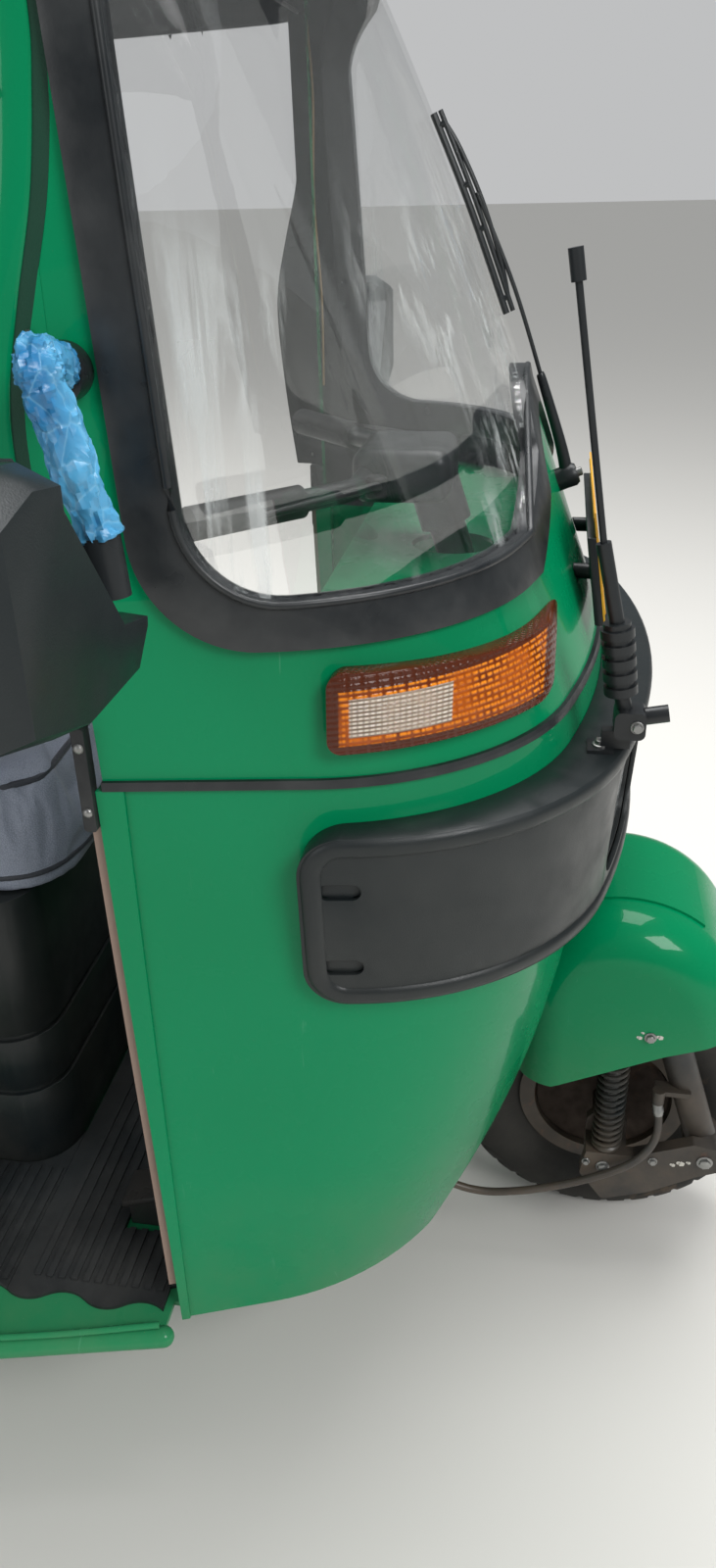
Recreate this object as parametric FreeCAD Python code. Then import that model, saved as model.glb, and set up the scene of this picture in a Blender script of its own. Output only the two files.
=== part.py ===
import FreeCAD, Part
import math
import os

os.makedirs("parts", exist_ok=True)

# An auto rickshaw in millimetres. Front is -Y, the driver's right hand is -X, +Z is up,
# and the origin is on the ground below the middle of the vehicle.
# "Station" means millimetres behind the front axle, and "half" is half of a width.

# Overall and running gear
tyre_radius = 208.0
wheelbase = 2000.0
rear_overhang = 397.0
tail_lamp_depth = 30.0
rear_track = 1150.0
tyre_width = 105.0
tyre_shoulder = 15.0
rim_radius = 106.0
rim_width = 76.0
rim_well_radius = 82.0
rim_wall = 4.0
rim_lip = 6.0
bead_seat_drop = 10.0
drum_radius = 78.0
drum_width = 46.0
drum_wall = 8.0
hub_radius = 24.0
hub_length = 22.0
axle_radius = 10.0
running_gap = 0.05
seat_gap = 0.3
rear_end_station = wheelbase + rear_overhang
overall_length = tyre_radius + rear_end_station + tail_lamp_depth
front_axle_y = tyre_radius - overall_length / 2

# Steering
steering_rake = 18.0
steering_trail = 90.0
stem_radius = 20.0
stem_low_z = 500.0
head_tube_radius = 29.0
head_tube_low_z = 634.0
head_tube_high_z = 880.0
handlebar_z = 1045.0
handlebar_radius = 11.0
handlebar_bend = 60.0
handlebar_middle_half = 112.0
handlebar_middle_back = 62.0
handlebar_end_back = 190.0
grip_radius = 16.0
grip_length = 120.0
grip_half_span = 250.0
grip_end = 4.0
pod_half = 62.0
pod_length = 104.0
pod_height = 56.0

# Front suspension, carried on the right of the wheel only
fork_x = -92.0
fork_radius = 20.0
fork_eye_radius = 24.0
fork_eye_half = 22.0
crown_z = 505.0
link_pivot_station = -126.0
link_pivot_z = 203.0
link_pin_radius = 8.0
link_cheek = 17.0
link_plate = 12.0
spring_x = -112.0
spring_station = -3.0
spring_radius = 20.0
spring_core_radius = 14.5
spring_turns = 10
spring_wire = 5.0
spring_low_z = 200.0
spring_high_z = 400.0
hose_radius = 5.0
union_radius = 8.0
union_length = 14.0
hose_end_gap = 2.6

# Front mudguard
guard_half = 134.0
guard_crest_z = 553.0
guard_crown_radius = 153.0
guard_front_sweep = 80.0
guard_corner = 58.0
guard_rear_station = 122.0
guard_front_lip_z = 440.0
guard_rear_lip_z = 300.0
guard_wall = 4.0
guard_panel_rise = 3.0

# Cowl
skin = 6.0
cowl_low_z = 252.0
seam_z = 889.0
seam_height = 8.0
seam_proud = 4.0
header_z = 1590.0
jamb_width = 28.0
jamb_depth = 8.0
jamb_proud = 3.0
liner_width = 10.0
liner_thick = 5.0
arch_half_low = 333.0
arch_half_high = 236.0
arch_shoulder_z = 540.0
arch_top_z = 628.0
arch_corner = 40.0
bulkhead_station = 302.0
bracket_low_z = 850.0
bracket_high_z = 943.0
bracket_half = 480.0
bracket_width = 12.0
bracket_depth = 11.0

# Windscreen and its rubber
screen_foot_z = 1003.0
screen_hump_z = 1112.0
screen_hump_half = 230.0
screen_top_z = 1545.0
screen_side_low_station = 418.0
screen_side_high_station = 446.0
screen_corner = 92.0
gasket_width = 38.0
gasket_proud = 7.0
gasket_depth = 10.0
glass_thick = 5.0

# Front bumper, lamps and what stands on the bumper's shelf
bumper_low_z = 676.0
bumper_high_z = 852.0
bumper_rear_station = 306.0
bumper_wall = 5.0
bumper_corner = 38.0
lamp_inner_x = 96.0
lamp_outer_x = 268.0
lamp_low_z = 700.0
lamp_high_z = 832.0
lamp_corner = 34.0
lamp_depth = 42.0
lamp_rim = 7.0
lamp_setback = 6.0
indicator_front_station = 106.0
indicator_rear_station = 280.0
indicator_low_z = 919.0
indicator_high_z = 980.0
indicator_proud = 15.0
plate_half = 140.0
plate_low_z = 925.0
plate_high_z = 1034.0
plate_thick = 2.0
plate_low_station = 57.0
plate_lean = 9.0
holder_depth = 9.0
pole_x = -275.0
pole_boot_radius = 15.0

# Floor and chassis
floor_z = 262.0
floor_thick = 6.0
sill_radius = 11.0
mat_thick = 4.0
mat_rib = 3.0
mat_pitch = 14.0
rail_x = 250.0
rail_width = 50.0
rail_height = 60.0
cross_width = 40.0
cross_height = 50.0
front_cross_station = 330.0
tow_eye_radius = 13.0
tow_eye_thick = 12.0
tow_eye_outer = 26.0
tow_eye_inset = 25.0
rear_bar_radius = 16.0
rear_bar_half = 560.0
rear_bar_return = 86.0
arm_inset = 98.0
arm_half = 20.0
arm_height = 48.0
arm_reach = 360.0
pivot_tube_radius = 14.0
damper_radius = 28.0
damper_foot_behind = 10.0
damper_top_ahead = 35.0
damper_beam_z = 560.0
engine_half = 170.0
engine_ahead = 28.0
engine_length = 266.0
engine_top_z = 560.0
silencer_radius = 60.0
silencer_behind = 110.0
silencer_z = 190.0

# Seats
driver_seat_front = 612.0
driver_seat_half = 290.0
driver_seat_z = 640.0
driver_seat_depth = 400.0
driver_seat_toe = 40.0
driver_base_half = 310.0
driver_cushion_height = 140.0
driver_back_half = 240.0
driver_back_thick = 62.0
driver_back_height = 330.0
driver_rail_radius = 12.0
driver_rail_half = 280.0
driver_rail_top_z = 1010.0
bench_ahead = 500.0
bench_depth = 400.0
bench_side_gap = 78.0
bench_z = 560.0
bench_cushion_height = 120.0
bench_back_height = 480.0
bench_back_thick = 85.0
bench_back_slope = 90.0

# Rear body
rear_width = 1276.0
rear_corner = 110.0
waist_z = 880.0
side_low_z = 242.0
rear_low_z = 382.0
doorway_ahead = 550.0
wheel_room = 52.0
arch_lip_out = 12.0
arch_lip_width = 14.0
side_bead_z = 690.0
side_bead_radius = 6.0
door_half = 355.0
door_low_z = 435.0
door_high_z = 775.0
door_gap = 5.0
door_corner = 26.0
hinge_out = 8.0
hinge_z = 783.0
hinge_x = 250.0
hinge_pin_radius = 3.0
hinge_barrel_radius = 7.0
hinge_half = 30.0
hinge_share = 14.0
hinge_side_gap = 0.3
plate_spacing = 160.0
plate_hole_radius = 3.5
plate_hole_z = 405.0
tail_lamp_width = 100.0
tail_lamp_low_z = 560.0
tail_lamp_high_z = 680.0
tail_lamp_corner = 14.0

# Hood
hood_front_station = 452.0
hood_tube_radius = 11.0
hood_top_z = 1704.0
hood_eave_z = 1500.0
canvas = 6.0
post_station = 1050.0
hoop_ahead = 480.0
hoop_gap = 1.0
hoop_foot_depth = 40.0
back_hoop_behind = 130.0
window_half = 330.0
window_low_z = 1180.0
window_high_z = 1400.0
window_corner = 40.0
window_thick = 3.0

doorway_station = wheelbase - doorway_ahead
hoop_station = wheelbase - hoop_ahead
bench_front = wheelbase - bench_ahead
bench_half = rear_width / 2 - bench_side_gap
arm_x = rear_track / 2 - arm_inset
OVER = 40.0


def Y(station):
    return front_axle_y + station


def V(x, station, z):
    return FreeCAD.Vector(x, Y(station), z)


def box(x0, x1, s0, s1, z0, z1):
    return Part.makeBox(x1 - x0, s1 - s0, z1 - z0, V(x0, s0, z0))


def rod(a, b, radius):
    """A round bar from point a to point b."""
    return Part.makeCylinder(radius, (b - a).Length, a, b - a)


def cross_rod(x0, x1, station, z, radius):
    """A round bar across the vehicle."""
    return rod(V(x0, station, z), V(x1, station, z), radius)


def fuse(shapes):
    first, rest = shapes[0], shapes[1:]
    if not rest:
        return first
    return first.multiFuse(rest).removeSplitter()


def mirrored(shape):
    return shape.mirror(FreeCAD.Vector(0, 0, 0), FreeCAD.Vector(1, 0, 0))


def pair(shape):
    """The same piece on the right and on the left."""
    return Part.makeCompound([shape, mirrored(shape)])


def save(name, shape):
    shape.exportStep("parts/" + name + ".step")


def prism_x(points, x0, x1):
    """Side outline, points of (station, z), carried across the vehicle."""
    face = Part.Face(Part.makePolygon([V(x0, s, z) for s, z in points + points[:1]]))
    return face.extrude(FreeCAD.Vector(x1 - x0, 0, 0))


def prism_y(points, s0, s1):
    """Front outline, points of (x, z), carried along the vehicle."""
    face = Part.Face(Part.makePolygon([V(x, s0, z) for x, z in points + points[:1]]))
    return face.extrude(FreeCAD.Vector(0, s1 - s0, 0))


def prism_z(points, z0, z1):
    """Plan outline, points of (x, station), carried upwards."""
    face = Part.Face(Part.makePolygon([V(x, s, z0) for x, s in points + points[:1]]))
    return face.extrude(FreeCAD.Vector(0, 0, z1 - z0))


def rounded(solid, radius, axis):
    """Round every edge of a prism that runs along the axis."""
    edges = []
    for edge in solid.Edges:
        a, b = edge.Vertexes[0].Point, edge.Vertexes[-1].Point
        along = (b - a).normalize()
        if abs(along.dot(axis)) > 0.999:
            edges.append(edge)
    return solid.makeFillet(radius, edges)


ALONG_X = FreeCAD.Vector(1, 0, 0)
ALONG_Y = FreeCAD.Vector(0, 1, 0)
ALONG_Z = FreeCAD.Vector(0, 0, 1)


def corner_reach(points, i, bend):
    """How far a corner's arc reaches along its runs, with the bend's radius given."""
    back = (points[i - 1] - points[i]).normalize()
    ahead = (points[i + 1] - points[i]).normalize()
    turn = math.pi - back.getAngle(ahead)
    return back, ahead, turn, bend * math.tan(turn / 2)


def tube_path(points, bends):
    """Straight runs joined by tangent arcs, one bend radius for each inner point."""
    edges = []
    start = points[0]
    for i in range(1, len(points) - 1):
        bend = bends[i - 1]
        back, ahead, turn, reach = corner_reach(points, i, bend)
        a = points[i] + back * reach
        b = points[i] + ahead * reach
        inward = (back + ahead).normalize()
        centre = points[i] + inward * (bend / math.cos(turn / 2))
        middle = centre - inward * bend
        edges.append(Part.makeLine(start, a))
        edges.append(Part.Arc(a, middle, b).toShape())
        start = b
    edges.append(Part.makeLine(start, points[-1]))
    return Part.Wire(edges)


def bent_tube(points, radius, bend):
    path = tube_path(points, [bend] * (len(points) - 2))
    ring = Part.Wire(Part.makeCircle(radius, points[0], points[1] - points[0]))
    return path.makePipeShell([ring], True, True)


def u_wire(place, half, base, apex, taper, r_front, r_corner, inset):
    """A U outline: two straight sides, two corner arcs and one front arc, closed at the base.

    place(a, b) puts the outline's own coordinates into space. The base lies at b = base and
    the apex at b = apex, and inset moves the whole outline inwards, apart from the base.
    """
    t = math.radians(taper)
    nx, ny = math.cos(t), -math.sin(t)
    ux, uy = -math.sin(t), -math.cos(t)
    fy = apex + r_front
    cx0, cy0 = half - r_corner * nx, base - r_corner * ny
    dx, dy = cx0, cy0 - fy
    dot = dx * ux + dy * uy
    room = dot * dot - (dx * dx + dy * dy - (r_front - r_corner) ** 2)
    along = -dot + math.sqrt(room)
    cx, cy = cx0 + along * ux, cy0 + along * uy
    reach = math.hypot(cx, cy - fy)
    ex, ey = cx / reach, (cy - fy) / reach
    rc, rf = r_corner - inset, r_front - inset
    side = (cx + rc * nx, cy + rc * ny)
    front = (rf * ex, fy + rf * ey)
    mx, my = nx + ex, ny + ey
    size = math.hypot(mx, my)
    corner = (cx + rc * mx / size, cy + rc * my / size)
    foot_x = half - inset / math.cos(t)
    foot = (foot_x, base)
    tip = (0.0, fy - rf)

    def at(point, sign):
        return place(sign * point[0], point[1])

    edges = [
        Part.makeLine(at(foot, -1), at(side, -1)),
        Part.Arc(at(side, -1), at(corner, -1), at(front, -1)).toShape(),
        Part.Arc(at(front, -1), at(tip, 1), at(front, 1)).toShape(),
        Part.Arc(at(front, 1), at(corner, 1), at(side, 1)).toShape(),
        Part.makeLine(at(side, 1), at(foot, 1)),
        Part.makeLine(at(foot, 1), at(foot, -1)),
    ]
    return Part.Wire(edges)


def level_place(z):
    return lambda a, b: V(a, b, z)


def shell_loft(sections, inset, grow_base=0.0):
    """Plan sections of (z, half width, base station, apex station, taper, radii), lofted."""
    wires = []
    for z, half, base, apex, taper, r_front, r_corner in sections:
        t = math.radians(taper)
        half = half + grow_base * math.tan(t)
        wires.append(u_wire(level_place(z), half, base + grow_base, apex, taper,
                            r_front, r_corner, inset))
    return Part.makeLoft(wires, True, False)


# Plan sections of the cowl: z, half width at the base, base station, apex station,
# taper of the sides in degrees, front radius, corner radius
LOWER_SECTIONS = [
    (cowl_low_z, 478.0, 448.0, 142.0, 20.0, 900.0, 300.0),
    (430.0, 477.0, 452.0, 82.0, 14.0, 950.0, 280.0),
    (620.0, 475.0, 457.0, 48.0, 10.0, 1000.0, 260.0),
    (seam_z, 470.0, 463.0, 58.0, 8.5, 1000.0, 250.0),
]
UPPER_SECTIONS = [
    (seam_z, 470.0, 463.0, 58.0, 8.5, 1000.0, 250.0),
    (1000.0, 466.0, 468.0, 100.0, 8.0, 1000.0, 245.0),
    (1130.0, 462.0, 472.0, 150.0, 7.0, 1050.0, 220.0),
    (header_z, 452.0, 478.0, 365.0, 5.0, 1800.0, 60.0),
]
BUMPER_SECTIONS = [
    (bumper_low_z, 486.0, 463.0, 10.0, 8.5, 1000.0, 262.0),
    (bumper_high_z, 499.0, 463.0, 0.0, 8.5, 1000.0, 275.0),
]


def lower_solid(inset, grow_base=0.0):
    return shell_loft(LOWER_SECTIONS, inset, grow_base)


def upper_solid(inset, grow_base=0.0):
    return shell_loft(UPPER_SECTIONS, inset, grow_base)


def jamb_band(sections, clear):
    """The folded edge along each side of the doorway, made larger all round by clear."""
    outer = shell_loft(sections, -jamb_proud - clear, skin + clear)
    inner = shell_loft(sections, jamb_width + clear, OVER)
    base = sections[0][2]
    return outer.cut(inner).common(box(-600, 600, base + skin - jamb_depth - clear, 600, 0, 2000))


def arch_outline(grow, s0, s1):
    """The wheel arch seen from the front, bevelled at its two upper corners."""
    points = [(-arch_half_low - grow, 200.0), (-arch_half_high - grow, arch_shoulder_z),
              (-arch_half_high + arch_corner, arch_top_z + grow),
              (arch_half_high - arch_corner, arch_top_z + grow),
              (arch_half_high + grow, arch_shoulder_z), (arch_half_low + grow, 200.0)]
    return prism_y(points, s0, s1)


def steering_point(z):
    """The point on the steering axis at height z."""
    return V(0, -steering_trail + z * math.tan(math.radians(steering_rake)), z)


def make_lower_cowl():
    """The leg shield: one curved skin with the wheel arch cut and a folded jamb each side."""
    top = seam_z - seam_height / 2
    shell = lower_solid(0.0).cut(lower_solid(skin, OVER))
    shell = shell.common(box(-600, 600, 0, 600, cowl_low_z, top))
    shell = shell.cut(arch_outline(0.0, -100.0, bulkhead_station + 8.0))
    jamb = jamb_band(LOWER_SECTIONS, 0.0).common(box(-600, 600, 0, 600, cowl_low_z, top))
    save("lower_cowl", fuse([shell, jamb]))


def make_wheelhouse():
    """The inner arch over the front wheel, with a hole for the steering head."""
    outer = arch_outline(skin, -40.0, bulkhead_station)
    inner = arch_outline(0.0, -60.0, bulkhead_station - skin)
    house = outer.cut(inner)
    house = house.common(lower_solid(skin + seat_gap))
    house = house.common(box(-600, 600, -100, 600, cowl_low_z, arch_top_z + 2 * skin))
    hole = rod(steering_point(stem_low_z), steering_point(head_tube_high_z), head_tube_radius + seat_gap)
    save("wheelhouse", house.cut(hole))


def make_seam_trim():
    """The beading that covers the joint between the lower and the upper cowl."""
    half = seam_height / 2
    rear = UPPER_SECTIONS[0][2] + skin
    upper = upper_solid(-seam_proud).cut(upper_solid(skin, OVER))
    lower = lower_solid(-seam_proud).cut(lower_solid(skin, OVER))
    upper = upper.common(box(-600, 600, -60, rear, seam_z, seam_z + half))
    lower = lower.common(box(-600, 600, -60, rear, seam_z - half, seam_z))
    save("cowl_seam_trim", fuse([upper, lower]))


def bracket_block(grow):
    front = UPPER_SECTIONS[0][2] + skin + seat_gap
    return box(-bracket_half - grow, -bracket_half + bracket_width + grow, front - grow,
               front + bracket_depth + grow, bracket_low_z - grow, bracket_high_z + grow)


def make_seam_brackets():
    """A strap each side behind the end of the beading, from the lower to the upper jamb."""
    save("seam_brackets", pair(rounded(bracket_block(0.0), 3.0, ALONG_X)))


def screen_outline(shrink):
    """The space inside the windscreen's rubber, seen from the side and from the front."""
    low = screen_foot_z + shrink
    top = screen_top_z - shrink
    side = [(screen_side_low_station - shrink, low), (screen_side_high_station - shrink, top),
            (-100.0, top), (-100.0, low)]
    across = prism_x(side, -600, 600)
    corner_edges = []
    for edge in across.Edges:
        if edge.Length > 1000 and edge.CenterOfMass.y > Y(300):
            corner_edges.append(edge)
    across = across.makeFillet(screen_corner - shrink / 2, corner_edges)
    hump = screen_hump_half
    rise = screen_hump_z - screen_foot_z
    start = V(-hump, -100, low)
    end = V(hump, -100, low)
    crest = V(0, -100, low + rise)
    left_mid = V(-hump / 2, -100, low + rise * 0.42)
    right_mid = V(hump / 2, -100, low + rise * 0.42)
    wire = Part.Wire([
        Part.makeLine(V(-600, -100, top), V(-600, -100, low)),
        Part.makeLine(V(-600, -100, low), start),
        Part.makeLine(start, left_mid),
        Part.Arc(left_mid, crest, right_mid).toShape(),
        Part.makeLine(right_mid, end),
        Part.makeLine(end, V(600, -100, low)),
        Part.makeLine(V(600, -100, low), V(600, -100, top)),
        Part.makeLine(V(600, -100, top), V(-600, -100, top)),
    ])
    front = Part.Face(wire).extrude(FreeCAD.Vector(0, 700, 0))
    return across.common(front)


def make_upper_cowl():
    """The scuttle, the two screen pillars and the header in one pressing with folded jambs."""
    shell = upper_solid(0.0).cut(upper_solid(jamb_width, OVER))
    base = UPPER_SECTIONS[0][2]
    thin = upper_solid(skin, OVER).common(box(-600, 600, 0, base - jamb_depth, 0, 2000))
    shell = shell.cut(thin)
    shell = shell.common(box(-600, 600, 0, 600, seam_z + seam_height / 2, header_z))
    hood_room = box(-700, 700, hood_front_station - seat_gap, 600, hood_eave_z, hood_top_z)
    hood_room = hood_room.cut(hood_solid(canvas + seat_gap))
    save("upper_cowl", shell.cut(screen_outline(0.0)).cut(hood_room))


def gasket_solid():
    band = upper_solid(-gasket_proud).cut(upper_solid(gasket_depth, OVER))
    return band.common(screen_outline(0.0)).cut(screen_outline(gasket_width))


def make_windscreen():
    """The bonded pane, and the broad rubber round it that follows the cowl's curve."""
    save("windscreen_gasket", gasket_solid())
    pane = upper_solid(1.0).cut(upper_solid(1.0 + glass_thick, OVER))
    save("windscreen_glass", pane.common(screen_outline(gasket_width)))


def lamp_prism(shrink, s0, s1):
    block = box(-lamp_outer_x + shrink, -lamp_inner_x - shrink, s0, s1,
                lamp_low_z + shrink, lamp_high_z - shrink)
    return rounded(block, lamp_corner - shrink, ALONG_Y)


def bumper_ends(shrink):
    """The length of the bumper, with its rear ends rounded in side view."""
    block = box(-700, 700, -100, bumper_rear_station - shrink,
                bumper_low_z + shrink, bumper_high_z - shrink)
    edges = [e for e in block.Edges if e.Length > 1000 and e.CenterOfMass.y > Y(200)]
    return block.makeFillet(bumper_corner - shrink, edges)


# Oval dimples in each side of the bumper: height, half length, half height
DIMPLES = [(718.0, 18.0, 8.0), (799.0, 18.0, 8.0)]
dimple_station = 272.0


def make_bumper():
    """A moulded wrap-round bumper: outer wall, top shelf and lower rim, open to the cowl."""
    band = shell_loft(BUMPER_SECTIONS, 0.0).cut(lower_solid(-seat_gap, OVER))
    cavity = shell_loft(BUMPER_SECTIONS, bumper_wall, OVER)
    band = band.common(bumper_ends(0.0)).cut(cavity.common(bumper_ends(bumper_wall)))
    lamp_hole = lamp_prism(0.0, -60.0, 60.0)
    band = band.cut(lamp_hole).cut(mirrored(lamp_hole))
    for z, along, up in DIMPLES:
        slot = box(-520, -446, dimple_station - along, dimple_station + along, z - up, z + up)
        slot = rounded(slot, up - 0.5, ALONG_X)
        band = band.cut(slot).cut(mirrored(slot))
    save("front_bumper", band)


def make_headlamps():
    """Each lamp is a bowl set back in the bumper with a curved lens in its mouth."""
    outer = shell_loft(BUMPER_SECTIONS, lamp_setback)
    behind = shell_loft(BUMPER_SECTIONS, lamp_depth, OVER)
    body = outer.cut(behind).common(lamp_prism(seat_gap, -60.0, 200.0))
    mouth = lamp_prism(seat_gap + lamp_rim, -60.0, 200.0)
    floor = shell_loft(BUMPER_SECTIONS, 3 * lamp_setback, OVER)
    bowl = body.cut(mouth.cut(floor)).cut(lower_solid(-seat_gap))
    save("headlamp_bowls", pair(bowl))
    front = shell_loft(BUMPER_SECTIONS, lamp_setback + 4.0)
    back = shell_loft(BUMPER_SECTIONS, lamp_setback + 8.0, OVER)
    lens = front.cut(back).common(lamp_prism(2 * seat_gap + lamp_rim, -60.0, 200.0))
    save("headlamp_lenses", pair(lens))


def make_indicators():
    """Amber lamps that wrap round the corners of the scuttle."""
    band = upper_solid(-indicator_proud).cut(upper_solid(-seat_gap, OVER))
    side = [(indicator_front_station, indicator_low_z), (indicator_rear_station, indicator_low_z),
            (indicator_rear_station, indicator_high_z + 6.0),
            (indicator_front_station, indicator_high_z - 8.0)]
    block = rounded(prism_x(side, -600, -180), 12.0, ALONG_X)
    save("front_indicators", pair(band.common(block)))


def make_dash_shelf():
    """A shelf below the windscreen with a rear apron, open round the steering column."""
    shelf_z, thick, rear, apron = 962.0, 5.0, 336.0, 120.0
    inside = upper_solid(skin + seat_gap)
    top = inside.common(box(-600, 600, 0, rear, shelf_z - thick, shelf_z))
    drop = inside.common(box(-600, 600, rear - skin, rear, shelf_z - apron, shelf_z))
    hole = rod(steering_point(700.0), steering_point(1100.0), head_tube_radius + 14.0)
    save("dash_shelf", fuse([top, drop]).cut(hole))


def make_head_tube():
    """The steering head, braced by a box beam that comes down behind the wheelhouse."""
    tube = rod(steering_point(head_tube_low_z), steering_point(head_tube_high_z), head_tube_radius)
    front = bulkhead_station + seat_gap
    back = front + 50.0
    post = box(-40, 40, front, back, floor_z, 700.0)
    brace = [(front, 640.0), (back, 640.0), (back, 720.0), (210.0, 850.0), (180.0, 700.0)]
    shape = fuse([tube, post, prism_x(brace, -30, 30)])
    bore = rod(steering_point(stem_low_z), steering_point(head_tube_high_z + 100.0),
               stem_radius + running_gap)
    save("head_tube", shape.cut(bore))


# The floor's edge on the right: half width, station
rear_sill_half = rear_width / 2 - 10.0
SILL_LINE = [(508.0, 466.0), (545.0, 630.0), (600.0, 950.0),
             (rear_sill_half, doorway_station - sill_radius - seat_gap)]


def make_floor():
    """One floor from the bulkhead to the engine bay, with a rolled sill along each side."""
    low = floor_z - floor_thick
    inner = arm_x + arm_half + 3.0
    end = doorway_station - sill_radius - seat_gap
    right = [(-half, station) for half, station in SILL_LINE]
    right += [(-inner, end), (-inner, wheelbase - 120.0)]
    left = [(-x, station) for x, station in reversed(right)]
    pan = prism_z(right + left, low, floor_z)
    front = lower_solid(skin + seat_gap, OVER).common(
        box(-470, 470, bulkhead_station + seat_gap, 480, low, floor_z))
    pan = fuse([pan, front]).cut(jamb_band(LOWER_SECTIONS, seat_gap))
    line = [V(-half, station, low) for half, station in SILL_LINE]
    sills = [Part.makeSphere(sill_radius, line[0])]
    for a, b in zip(line, line[1:]):
        sills.append(rod(a, b, sill_radius))
        sills.append(Part.makeSphere(sill_radius, b))
    sill = fuse(sills)
    save("floor_pan", fuse([pan, sill, mirrored(sill)]))


# The driver's mat: half width, first station, station where its wavy edge starts, wave length
mat_half = 484.0
mat_front = 360.0
mat_edge_start = 474.0
mat_wave = 44.0
mat_wave_count = 4
mat_wave_depth = 7.0

# The brake pedal's block: x and station of its corners, height of its pad
pedal_x0, pedal_x1 = -384.0, -336.0
pedal_s0, pedal_s1 = 500.0, 546.0
pedal_top_z = 312.0


def wavy_edge(side):
    """The mat's outer edge on one side, as arcs that bulge out and in by turns."""
    arcs = []
    for i in range(mat_wave_count):
        s0 = mat_edge_start + i * mat_wave
        bulge = mat_wave_depth if i % 2 else -mat_wave_depth
        arcs.append(Part.Arc(V(side * mat_half, s0, floor_z),
                             V(side * (mat_half + bulge), s0 + mat_wave / 2, floor_z),
                             V(side * mat_half, s0 + mat_wave, floor_z)).toShape())
    return arcs


def ribs_across(half, s0, s1):
    """Low ribs across a mat, one pitch apart."""
    ribs = []
    count = int((s1 - s0) / mat_pitch)
    low = floor_z + mat_thick
    for i in range(count):
        s = s0 + i * mat_pitch
        ribs.append(box(-half, half, s, s + mat_pitch / 2, low, low + mat_rib))
    return ribs


def make_floor_mats():
    """Ribbed rubber mats: the driver's, with its wavy edges, and the passengers'."""
    end = mat_edge_start + mat_wave_count * mat_wave
    start_left, start_right = V(mat_half, mat_edge_start, floor_z), V(-mat_half, mat_edge_start, floor_z)
    end_left, end_right = V(mat_half, end, floor_z), V(-mat_half, end, floor_z)
    edges = wavy_edge(-1) + [Part.makeLine(end_right, end_left)] + wavy_edge(1)
    edges.append(Part.makeLine(start_left, start_right))
    outline = Part.Wire(Part.__sortEdges__(edges))
    wide = Part.Face(outline).extrude(FreeCAD.Vector(0, 0, mat_thick))
    front = lower_solid(jamb_width + 2.0, OVER).common(
        box(-470, 470, mat_front, mat_edge_start, floor_z, floor_z + mat_thick))
    ribs = ribs_across(mat_half - 20.0, mat_edge_start + 6.0, end - 6.0)
    driver = fuse([wide, front] + ribs)
    driver = driver.cut(box(pedal_x0 - 4, pedal_x1 + 4, pedal_s0 - 4, pedal_s1 + 4, floor_z, 400))
    s0, s1 = post_station + 70.0, bench_front - 20.0
    half = bench_half - 40.0
    rear = box(-half, half, s0, s1, floor_z, floor_z + mat_thick)
    rear = fuse([rear] + ribs_across(half - 10.0, s0 + 8.0, s1 - 8.0))
    save("floor_mats", Part.makeCompound([driver, rear]))


def make_brake_pedal():
    """The pedal's housing on the floor with a sloped pad on top."""
    x0, x1 = pedal_x0, pedal_x1
    s0, s1 = pedal_s0, pedal_s1
    side = [(s0, floor_z), (s1, floor_z), (s1, pedal_top_z - 16.0), (s0, pedal_top_z)]
    body = prism_x(side, x0 + 6.0, x1 - 6.0)
    pad = prism_x([(s0 - 6.0, pedal_top_z + 2.0), (s1 + 6.0, pedal_top_z - 18.0),
                   (s1 + 6.0, pedal_top_z - 10.0), (s0 - 6.0, pedal_top_z + 10.0)], x0, x1)
    save("brake_pedal", fuse([body, pad]))


def make_chassis():
    """A ladder of box rails with cross members, the damper beam and the rear arms' pivot tube."""
    top = floor_z - floor_thick
    end = rear_end_station - 2 * rear_bar_radius - 3.0
    damper_station = wheelbase - damper_top_ahead
    beam_low = damper_beam_z
    pieces = []
    for side in (-1, 1):
        x = side * rail_x
        pieces.append(box(x - rail_width / 2, x + rail_width / 2, front_cross_station, end,
                          top - rail_height, top))
        pieces.append(box(x - 20, x + 20, damper_station - 20, damper_station + 20,
                          top, beam_low + cross_width))
    stations = [front_cross_station, 800.0, wheelbase - 700.0, wheelbase - 220.0,
                wheelbase - 30.0, wheelbase + 200.0]
    for station in stations:
        pieces.append(box(-rail_x, rail_x, station, station + cross_width, top - cross_height, top))
    beam_half = arm_x + arm_half + 4.0
    pieces.append(box(-beam_half, beam_half, damper_station - 20, damper_station + 20,
                      beam_low, beam_low + cross_width))
    pieces.append(cross_rod(-beam_half, beam_half, wheelbase - arm_reach, tyre_radius, pivot_tube_radius))
    eye_station = rear_end_station - tow_eye_inset
    low = top - rail_height
    pieces.append(rod(V(0, eye_station, low), V(0, eye_station, low + tow_eye_thick), tow_eye_outer))
    pieces.append(box(-18, 18, stations[-1], eye_station, low, low + tow_eye_thick))
    x, _, z = HOSE_POINTS[-1]
    pieces.append(rod(V(x, front_cross_station - union_length, z), V(x, front_cross_station + 1, z),
                      union_radius))
    hole = rod(V(0, eye_station, low - OVER), V(0, eye_station, top), tow_eye_radius)
    save("chassis_frame", fuse(pieces).cut(hole))


def ring_solid(profile, x0, station, z):
    """Profile points of (x, radius) turned round a wheel's axle."""
    points = [FreeCAD.Vector(x0 + x, Y(station), z + r) for x, r in profile]
    face = Part.Face(Part.makePolygon(points + points[:1]))
    return face.revolve(FreeCAD.Vector(x0, Y(station), z), ALONG_X, 360)


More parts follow.
